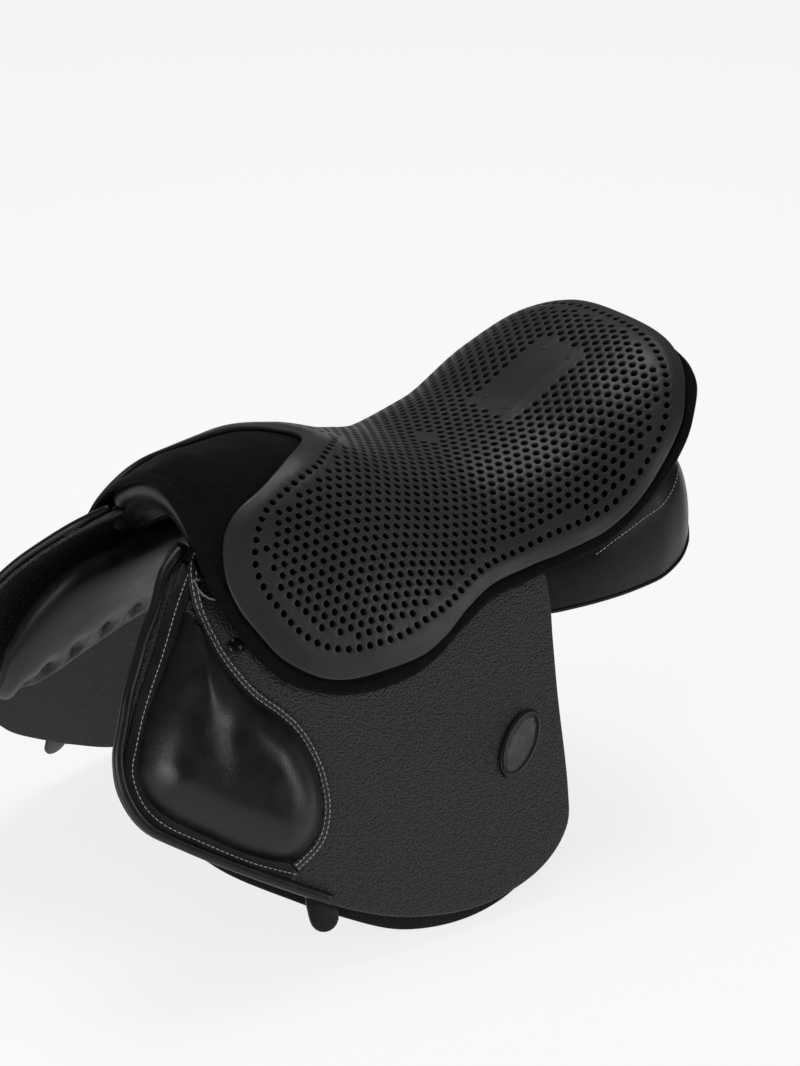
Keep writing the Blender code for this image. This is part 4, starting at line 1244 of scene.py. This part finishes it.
    def build_tab(self) -> None:
        """The plain oval tab near the rear edge, with a raised rim."""
        turn = 2 * math.pi * np.arange(72) / 72
        u, v = self.tab_long * np.cos(turn), self.tab_short * np.sin(turn)
        c, s = math.cos(self.tab_tilt), math.sin(self.tab_tilt)
        edge = np.stack([self.tab_centre[0] + u * c - v * s, self.tab_centre[1] + u * s + v * c], 1)

        def rim(spots: Array, reach: Array) -> Array:
            """A raised line just inside the edge."""
            return 1.0 * MM * np.exp(-((reach - 2.4 * MM) / (0.9 * MM)) ** 2)

        tab = Layer(edge, self.face.place, -2.9 * MM, -0.2 * MM, 0.8 * MM, 3 * MM, rim,
                    bands=(1.4 * MM, 2.2 * MM, 3.0 * MM, 4.0 * MM))
        item = tab.build("oval_tab_" + self.name)
        fix(item, Finish.CALF, "flap_" + self.name, "flap_keeper_" + self.name)

    def build(self) -> None:
        """Makes the whole flap."""
        self.build_leather()
        self.build_roll()
        self.build_edges()
        self.build_tab()


@dataclass
class SweatFlap:
    """One side's sweat flap, the web of the girth, and the tree point's pocket."""

    name: str
    edge: Spots = ((-0.230, 0.060), (-0.262, 0.050), (-0.305, 0.020), (-0.345, -0.030),
                   (-0.352, -0.066), (-0.326, -0.094), (-0.303, -0.113), (-0.262, -0.138),
                   (-0.235, -0.153), (-0.178, -0.178), (-0.115, -0.186), (-0.060, -0.176),
                   (-0.024, -0.150), (-0.014, -0.10), (-0.010, -0.03), (-0.020, 0.040),
                   (-0.060, 0.058), (-0.150, 0.060))
    pocket: Spots = ((-0.280, 0.060), (-0.282, 0.020), (-0.268, -0.006), (-0.244, -0.006),
                     (-0.228, 0.020), (-0.226, 0.060))

    @property
    def face(self) -> FlapSurface:
        """The design surface of this side."""
        return SIDES[self.name]

    def build(self) -> None:
        """Makes the sweat flap, pocket and girth web."""
        place = self.face.place
        edge = curve_through(self.edge, 5 * MM)
        sweat = Layer(edge, place, 14 * MM, 17 * MM, 1.3 * MM, 8 * MM)
        item = fix(sweat.build("sweat_flap_leather_" + self.name), Finish.LINING_PAINTED_SHADE, "saddle",
                   "sweat_flap_" + self.name)
        pocket = Layer(curve_through(self.pocket, 4 * MM), place, 24.6 * MM, 26.2 * MM, 0.8 * MM,
                       6 * MM)
        fix(pocket.build("pocket_leather_" + self.name), Finish.PANEL_PAINTED_SHADE, "saddle",
            "point_pocket_" + self.name)
        corners = np.array([(-0.258, 0.012), (-0.122, 0.012), (-0.122, 0.056), (-0.258, 0.056)])
        web = Layer(respaced(np.concatenate([corners, corners[:1]]), 6 * MM, True), place,
                    11 * MM, 12.3 * MM, 0.6 * MM, 8 * MM)
        fix(web.build("girth_webbing_" + self.name), Finish.WEB, "saddle",
            "girth_web_" + self.name)


@dataclass
class Straps:
    """The three girth straps of one side, punched for the buckles and stitched along the edges."""

    name: str
    spots: tuple[tuple[str, float, float], ...] = (("front", -0.244, -0.164),
                                                   ("middle", -0.190, -0.158),
                                                   ("rear", -0.136, -0.158))
    width: float = 25 * MM
    above: float = 12 * MM
    pivot_z: float = 0.028
    faces: tuple[float, float] = (7.5 * MM, 10.5 * MM)
    hole_pitch: float = 25 * MM
    hole_count: int = 7
    first_hole: float = 40 * MM

    def strap(self, label: str, y: float, tip: float) -> None:
        """Makes one strap and its edge stitches.

        Args:
            label: its name along the row.
            y: where it hangs from.
            tip: the height of its tip.
        """
        face = SIDES[self.name]
        middle = (self.faces[0] + self.faces[1]) / 2
        spot = np.array([[y, self.pivot_z], [y, self.pivot_z - 0.1]])
        hang, below = face.place(spot, np.full(2, middle))
        outward = face.normal(spot)[0]
        down = (below - hang) / np.linalg.norm(below - hang)
        length = (self.pivot_z - tip) / -down[2]
        forward = np.cross(down, outward)
        forward /= np.linalg.norm(forward)
        out = np.cross(forward, down) * face.side
        out *= 1 if out @ outward > 0 else -1

        def place(spots: Array, depth: Array) -> Array:
            """Points of the strap's plane, depth 0 at its outer face."""
            rise = (self.faces[1] - self.faces[0]) / 2 - np.broadcast_to(depth, len(spots))
            return (hang + np.outer(spots[:, 0], forward) + np.outer(spots[:, 1], down)
                    + np.outer(rise, out))

        half = self.width / 2
        turn = np.linspace(0, math.pi, 13)
        tip_arc = np.stack([half * np.cos(turn), length - half + half * np.sin(turn)], 1)
        corners = np.concatenate([[(-half, -self.above), (half, -self.above)], tip_arc,
                                  [(-half, -self.above)]])
        edge = respaced(corners, 4 * MM, True)
        along = length - self.first_hole - self.hole_pitch * np.arange(self.hole_count)
        holes = np.stack([np.zeros(self.hole_count), along], 1)
        sheet = Layer(edge, place, 0.0, self.faces[1] - self.faces[0], 0.9 * MM, 6 * MM,
                      holes=holes, hole_radius=2.1 * MM, bevel=0.4 * MM)
        item = sheet.build(f"strap_{label}_{self.name}")
        fix(item, Finish.CALF, f"strap_{label}_{self.name}", f"girth_strap_{label}_{self.name}")
        inset = half - 2.6 * MM
        rows = [np.array([(side * inset, 0.0), (side * inset, length - half)])
                for side in (-1, 1)]
        fine = Seam(3.4 * MM, 2.5 * MM, 0.6 * MM)
        item = fine.sew(f"strap_seam_{label}_{self.name}", rows, place, 0.15 * MM)
        fix(item, Finish.BLACK_THREAD, f"strap_{label}_{self.name}")

    def build(self) -> None:
        """Makes the three straps."""
        for label, y, tip in self.spots:
            self.strap(label, y, tip)


@dataclass
class PaddedPanel:
    """One side's flocked panel, lofted through its sections, with its welt, seams and dimples.

    A section is y, the top edge by the gullet (x, z), the shoulder (x, z), the lower edge (x, z)
    and the thickness; the outer curve runs from the top edge round the shoulder.
    """

    name: str
    sections: tuple[tuple[float, ...], ...] = (
        (0.2035, 0.070, 0.080, 0.088, 0.082, 0.094, 0.052, 0.020),
        (0.1940, 0.052, 0.104, 0.118, 0.108, 0.112, 0.024, 0.055),
        (0.1760, 0.044, 0.116, 0.144, 0.122, 0.120, 0.010, 0.070),
        (0.1460, 0.040, 0.110, 0.154, 0.116, 0.127, 0.004, 0.072),
        (0.1000, 0.038, 0.090, 0.150, 0.096, 0.130, 0.003, 0.062),
        (0.0400, 0.036, 0.066, 0.124, 0.076, 0.128, 0.005, 0.046),
        (-0.020, 0.036, 0.062, 0.096, 0.074, 0.0, 0.020, 0.034),
        (-0.090, 0.038, 0.078, 0.092, 0.078, 0.0, 0.006, 0.028),
        (-0.150, 0.042, 0.092, 0.086, 0.076, 0.0, -0.004, 0.024),
        (-0.210, 0.046, 0.092, 0.080, 0.066, 0.0, -0.018, 0.022),
        (-0.260, 0.050, 0.086, 0.074, 0.058, 0.0, -0.034, 0.022),
        (-0.300, 0.058, 0.074, 0.078, 0.044, 0.0, -0.050, 0.020),
        (-0.335, 0.074, 0.040, 0.086, 0.014, 0.0, -0.058, 0.016),
        (-0.355, 0.086, 0.000, 0.093, -0.014, 0.0, -0.046, 0.010))
    inset: float = 29 * MM
    around: int = 22
    squareness: float = 3.0
    ring_step: float = 5 * MM
    dimples: Spots = ((-0.223, -0.004), (-0.253, -0.012), (-0.281, -0.024), (-0.305, -0.037),
                      (-0.322, -0.050))
    dimple_depth: float = 9.5 * MM
    dimple_radius: float = 8.5 * MM
    welt: float = 1.6 * MM
    welt_from: float = -0.02
    row: Spots = ((0.080, 0.64), (0.100, 0.615), (0.125, 0.60), (0.150, 0.59), (0.170, 0.555),
                  (0.186, 0.49))
    stitch: Seam = field(default_factory=Seam)

    def rows(self) -> Array:
        """The table with the lower edge of the front sections put on the flap surface."""
        table = np.array(self.sections, float)
        table = table[::-1].copy()
        front = table[:, 5] == 0.0
        spots = table[front][:, [0, 6]]
        ends = FlapSurface(1).place(spots, np.full(len(spots), self.inset))
        table[front, 5] = ends[:, 0]
        return table

    def grid(self) -> Array:
        """Points of the skin as rings along the panel, each from the top edge round the outside."""
        table = self.rows()
        ys = table[:, 0]
        count = round((ys[-1] - ys[0]) / self.ring_step)
        share = 0.5 - 0.5 * np.cos(math.pi * np.arange(count + 1) / count)
        blend = 0.35 * share + 0.65 * np.arange(count + 1) / count
        at = ys[0] + (ys[-1] - ys[0]) * blend
        read = [smooth_read(at, list(zip(ys, table[:, k]))) for k in range(1, 8)]
        top, shoulder, low = (np.stack(read[k:k + 2], 1) for k in (0, 2, 4))
        thick = read[6]
        u = 0.5 - 0.5 * np.cos(math.pi * np.arange(self.around + 1) / self.around)
        u = u[None, :, None]
        spine = (1 - u) ** 2 * top[:, None] + 2 * u * (1 - u) * shoulder[:, None] + u * u * low[:, None]
        tangent = 2 * (1 - u) * (shoulder - top)[:, None] + 2 * u * (low - shoulder)[:, None]
        normal = np.stack([tangent[..., 1], -tangent[..., 0]], 2)
        normal /= np.linalg.norm(normal, axis=2, keepdims=True)
        square = self.squareness
        swell = (1 - np.abs(2 * u - 1) ** square) ** (1 / square)
        under = spine + normal * swell * thick[:, None, None]
        ring = np.concatenate([spine, under[:, -2:0:-1]], 1)
        depth = np.broadcast_to(at[:, None, None], ring.shape[:2] + (1,))
        return np.concatenate([ring[..., :1], depth, ring[..., 1:]], 2)

    def pressed(self, points: Array) -> Array:
        """The points with the dimples of the quilting pressed in from the horse's side."""
        flat = points.reshape(-1, 3)
        for y, z in self.dimples:
            gap = flat - (0.0, y, z)
            gap[:, 0] = 0.0
            reach = np.linalg.norm(gap, axis=1) / self.dimple_radius
            flat = flat + np.outer(self.dimple_depth * np.exp(-reach ** 2), (0.93, 0.0, 0.37))
        moved = flat.reshape(points.shape)
        moved[:, :self.around + 1] = points[:, :self.around + 1]
        return moved

    def build(self) -> None:
        """Makes the panel, its welt and its row of stitches."""
        side = SIDES[self.name].side
        points = self.pressed(self.grid())
        points[..., 0] *= side
        shell = Shell()
        rings = [shell.add(ring) for ring in points]
        for ahead, behind in zip(rings[1:], rings):
            shell.bridge(ahead, behind)
        shell.cap(rings[0], True)
        shell.cap(rings[-1])
        item = shell.piece("padded_panel_" + self.name)
        fix(item, Finish.PANEL_PAINTED_SHADE, "saddle", "panel_" + self.name)
        self.seams(points, side)

    def seams(self, points: Array, side: int) -> None:
        """The welt along the lower edge at the rear, and the stitched seam under the cantle."""
        rear = points[points[:, 0, 1] > self.welt_from]
        welt = respaced(rear[:, self.around], 4 * MM, False)
        up = np.broadcast_to((0.0, 0.0, 1.0), welt.shape)
        item = tube("panel_welt_" + self.name, welt, np.array([self.welt, self.welt]), up, 10)
        fix(item, Finish.PANEL_PAINTED_SHADE, "saddle")
        self.seam_row(points[:, :self.around + 1], side)

    def seam_row(self, skin: Array, side: int) -> None:
        """A row of stitches on the outside of the panel, at a share of its outer curve.

        Args:
            skin: rings of the outside, from the top edge to the lower edge.
            side: 1 on the left, -1 on the right.
        """
        ys = skin[:, 0, 1]
        shares = np.linspace(0, 1, skin.shape[1])

        def on_skin(spots: Array) -> Array:
            """Points of the outside at (y, share)."""
            out = np.empty((len(spots), 3))
            for k, (y, share) in enumerate(spots):
                ring = min(max(int(np.searchsorted(ys, y)), 1), len(ys) - 1)
                t = min(max((y - ys[ring - 1]) / (ys[ring] - ys[ring - 1]), 0), 1)
                row = skin[ring - 1] * (1 - t) + skin[ring] * t
                out[k] = [np.interp(share, shares, row[:, axis]) for axis in range(3)]
            return out

        spots = curve_through(self.row, 2 * MM, False)
        line = on_skin(spots)
        along = np.gradient(line, axis=0)
        across = on_skin(spots + (0, 0.02)) - on_skin(spots - (0, 0.02))
        out = np.cross(along, across) * -side
        out /= np.linalg.norm(out, axis=1, keepdims=True)
        steps = np.linalg.norm(np.diff(line, axis=0), axis=1)
        run = np.concatenate([[0.0], np.cumsum(steps)])

        def place(spots: Array, depth: Array) -> Array:
            """Points at a length along the row, with a depth under the outside."""
            here, up = (np.stack([np.interp(spots[:, 0], run, rows[:, axis]) for axis in range(3)], 1)
                        for rows in (line, out))
            return here - up * np.broadcast_to(depth, len(spots))[:, None]

        row = np.array([(0.0, 0.0), (run[-1], 0.0)])
        item = self.stitch.sew("panel_seam_" + self.name, [row], place, 0.5 * MM)
        fix(item, Finish.THREAD, "saddle")


@dataclass
class PommelFacing:
    """The leather that wraps the front of the tree, a soft arch from flap to flap."""

    reach: float = 0.118
    steps: int = 60
    profile: Spots = ((-0.246, 9.6 * MM), (-0.262, 10.5 * MM), (-0.271, 15 * MM),
                      (-0.2755, 23 * MM), (-0.2755, 32 * MM), (-0.271, 40 * MM),
                      (-0.262, 45.5 * MM), (-0.246, 47.5 * MM), (-0.215, 47.5 * MM),
                      (-0.180, 46.5 * MM), (-0.150, 45.5 * MM))
    skin: float = 2.0 * MM

    def build(self) -> None:
        """Makes the facing, thinner towards its ends."""
        line = curve_through(self.profile, 3 * MM, False)
        middle = 28 * MM
        shell = Shell()
        outer, inner = [], []
        for s in np.linspace(-self.reach, self.reach, self.steps + 1):
            share = abs(s) / self.reach
            slim = 1 - 0.25 * smooth_step(np.array(share), 0.55, 1.0)
            back = 0.012 * smooth_step(np.array(share), 0.45, 1.0)
            puff = 1.6 * MM * math.exp(-((share - 0.62) / 0.12) ** 2)
            for rows, in_by in ((outer, -puff), (inner, self.skin)):
                shape = line.copy()
                shape[:, 0] += back + in_by
                depth = middle + (shape[:, 1] - middle) * slim - in_by * np.sign(middle - shape[:, 1])
                depth += 2 * in_by * (shape[:, 1] < middle)
                spots = np.stack([np.full(len(shape), s), shape[:, 0]], 1)
                rows.append(SEAT.place(spots, depth))
        out_rows = [shell.add(r) for r in outer]
        in_rows = [shell.add(r) for r in inner]
        for a, b in zip(out_rows[1:], out_rows):
            shell.bridge(a, b, False)
        for a, b in zip(in_rows, in_rows[1:]):
            shell.bridge(a, b, False)
        loop_out = [out_rows, in_rows]
        for end in (0, -1):
            rim_out = np.array([row[end] for row in loop_out[0]])
            rim_in = np.array([row[end] for row in loop_out[1]])
            first, second = (rim_out, rim_in) if end == 0 else (rim_in, rim_out)
            shell.bridge(first, second, False)
        shell.bridge(out_rows[0], in_rows[0], False)
        shell.bridge(in_rows[-1], out_rows[-1], False)
        item = shell.piece("pommel_facing_leather")
        fix(item, Finish.CALF, "saddle", "pommel_facing")


@dataclass
class CantleBack:
    """The leather round the back of the cantle, from under the saver down to the panels."""

    rim: Spots = ((0.0, 0.216), (0.040, 0.2135), (0.070, 0.207), (0.105, 0.193), (0.130, 0.175),
                  (0.150, 0.150), (0.160, 0.120), (0.160, 0.090))
    top: float = 9.6 * MM
    under: float = 46 * MM
    bottom: float = 70 * MM
    bulge: float = 12 * MM
    fullness: float = 0.4
    narrowing: float = 0.05
    set_back: float = 6 * MM
    skin: float = 2.0 * MM
    steps: int = 10

    def build(self) -> None:
        """Makes the band."""
        half = curve_through(self.rim, 6 * MM, False)
        line = np.concatenate([(half * (-1, 1))[:0:-1], half])
        shell = Shell()
        share = np.linspace(0, 1, self.steps + 1)
        outer, inner = [], []
        for skin, rows in ((0.0, outer), (self.skin, inner)):
            for t in share:
                lean = np.stack([line[:, 0] * (1 - self.narrowing * t), line[:, 1] - self.set_back * t], 1)
                depth = self.top + (self.bottom - self.top) * t
                row = SEAT.place(lean, np.full(len(line), min(depth, self.under)))
                row[:, 2] -= max(depth - self.under, 0.0)
                away = row - SEAT.place(np.array([[0.0, 0.06]]), np.array([0.03]))
                away[:, 2] = 0
                away /= np.linalg.norm(away, axis=1, keepdims=True)
                swell = self.bulge * abs(math.sin(math.pi * t)) ** self.fullness
                rows.append(shell.add(row + away * (swell - skin)))
        for a, b in zip(outer, outer[1:]):
            shell.bridge(a, b, False)
        for a, b in zip(inner[1:], inner):
            shell.bridge(a, b, False)
        shell.bridge(inner[0], outer[0], False)
        shell.bridge(outer[-1], inner[-1], False)
        for end in (0, -1):
            rim_out = np.array([row[end] for row in outer])
            rim_in = np.array([row[end] for row in inner])
            first, second = (rim_in, rim_out) if end == 0 else (rim_out, rim_in)
            shell.bridge(first, second, False)
        fix(shell.piece("cantle_leather"), Finish.CALF, "saddle")


@dataclass
class CarriedOver:
    """The hard parts of the frame, which keep their shape and get their finish here."""

    frame: dict[str, Any]

    def build(self) -> None:
        """Gives each hard node its material."""
        plain = {"tree_frame": Finish.BEECH, "head_plate": Finish.PLATE, "gullet_plate": Finish.PLATE,
                 "cantle_plate": Finish.PLATE}
        for name in SIDES:
            plain |= {f"tree_point_{name}": Finish.BEECH, f"spring_steel_{name}": Finish.PLATE,
                      f"stirrup_bar_{name}": Finish.BRIGHT, f"bar_catch_{name}": Finish.BRIGHT,
                      f"dee_{name}": Finish.BRIGHT, f"saddle_nail_{name}": Finish.NAIL}
        for node, finish in plain.items():
            dress(self.frame["nodes"][node], finish)
        for name in SIDES:
            self.build_chape(name)

    def build_chape(self, name: str) -> None:
        """The leather loop of the dee, in its frame shape."""
        node = "dee_chape_" + name
        item = bpy.data.objects.new("dee_loop_" + name, self.frame["nodes"][node].data.copy())
        bpy.context.scene.collection.objects.link(item)
        item.data.shade_smooth()
        fix(item, Finish.CALF, "saddle", node)


# ---------------------------------------------------------------------------------------------
# Studio
# ---------------------------------------------------------------------------------------------

@dataclass
class Studio:
    """A pale floor, soft lights and the camera."""

    azimuth: float = math.radians(53)
    elevation: float = math.radians(23)
    distance: float = 3.2
    aim: tuple[float, float, float] = (0.0722, -0.0772, 0.0849)
    lens: float = 135.08
    sensor: float = 36.0
    floor_reach: float = 12.0
    below: float = 1.0 * MM

    def back(self) -> Vector:
        """The direction from the saddle to the camera."""
        level = math.cos(self.elevation)
        return Vector((math.sin(self.azimuth) * level, -math.cos(self.azimuth) * level,
                       math.sin(self.elevation)))

    def build_camera(self) -> None:
        """Places the camera."""
        data = bpy.data.cameras.new("camera")
        data.lens, data.sensor_height, data.sensor_fit = self.lens, self.sensor, "VERTICAL"
        data.sensor_width = self.sensor
        camera = bpy.data.objects.new("camera", data)
        bpy.context.scene.collection.objects.link(camera)
        camera.location = Vector(self.aim) + self.back() * self.distance
        camera.rotation_euler = (-self.back()).to_track_quat("-Z", "Y").to_euler()
        bpy.context.scene.camera = camera

    def build_floor(self, height: float) -> None:
        """Lays the floor just under the saddle."""
        shell = Shell()
        turn = 2 * math.pi * np.arange(96) / 96
        circle = np.stack([np.cos(turn), np.sin(turn), np.zeros(96)], 1)
        inner = shell.add(circle * self.floor_reach / 3 + (0, 0, height))
        outer = shell.add(circle * self.floor_reach + (0, 0, height))
        shell.cap(inner)
        shell.bridge(inner, outer)
        floor = shell.piece("floor")
        floor.data.materials.append(PaintedFloor().make())
        floor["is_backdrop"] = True

    def light(self, name: str, place: Vector, size: float, power: float) -> None:
        """A soft square light aimed at the saddle."""
        data = bpy.data.lights.new(name, "AREA")
        data.energy, data.size = power, size
        lamp = bpy.data.objects.new(name, data)
        bpy.context.scene.collection.objects.link(lamp)
        lamp.location = place
        lamp.rotation_euler = (place - Vector(self.aim)).to_track_quat("Z", "Y").to_euler()

    def build(self, height: float) -> None:
        """Makes the whole studio.

        Args:
            height: the floor's height, in metres.
        """
        self.build_camera()
        self.build_floor(height)
        self.light("overhead_light", Vector((-0.9, 0.7, 2.8)), 1.4, 26.0)
        self.light("front_light", Vector((1.15, -2.3, 0.50)), 1.1, 20.0)
        self.light("rear_light", Vector((2.5, 1.7, 0.75)), 0.9, 14.0)
        world = bpy.data.worlds.new("studio_air")
        world.use_nodes = True
        world.node_tree.nodes["Background"].inputs["Color"].default_value = linear("#f5f5f5")
        world.node_tree.nodes["Background"].inputs["Strength"].default_value = 0.22
        bpy.context.scene.world = world
        bpy.context.scene.view_settings.view_transform = "Standard"


def main() -> None:
    """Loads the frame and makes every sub-assembly in order."""
    logging.basicConfig(level=logging.INFO, format="%(message)s")
    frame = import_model()
    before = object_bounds()
    CarriedOver(frame).build()
    Seat().build()
    CantleBack().build()
    PommelFacing().build()
    for name in SIDES:
        Flap(name).build()
        SweatFlap(name).build()
        Straps(name).build()
        PaddedPanel(name).build()
    SeatSaver().build()
    Studio().build(before[0].z - Studio.below)


if __name__ == "__main__":
    main()
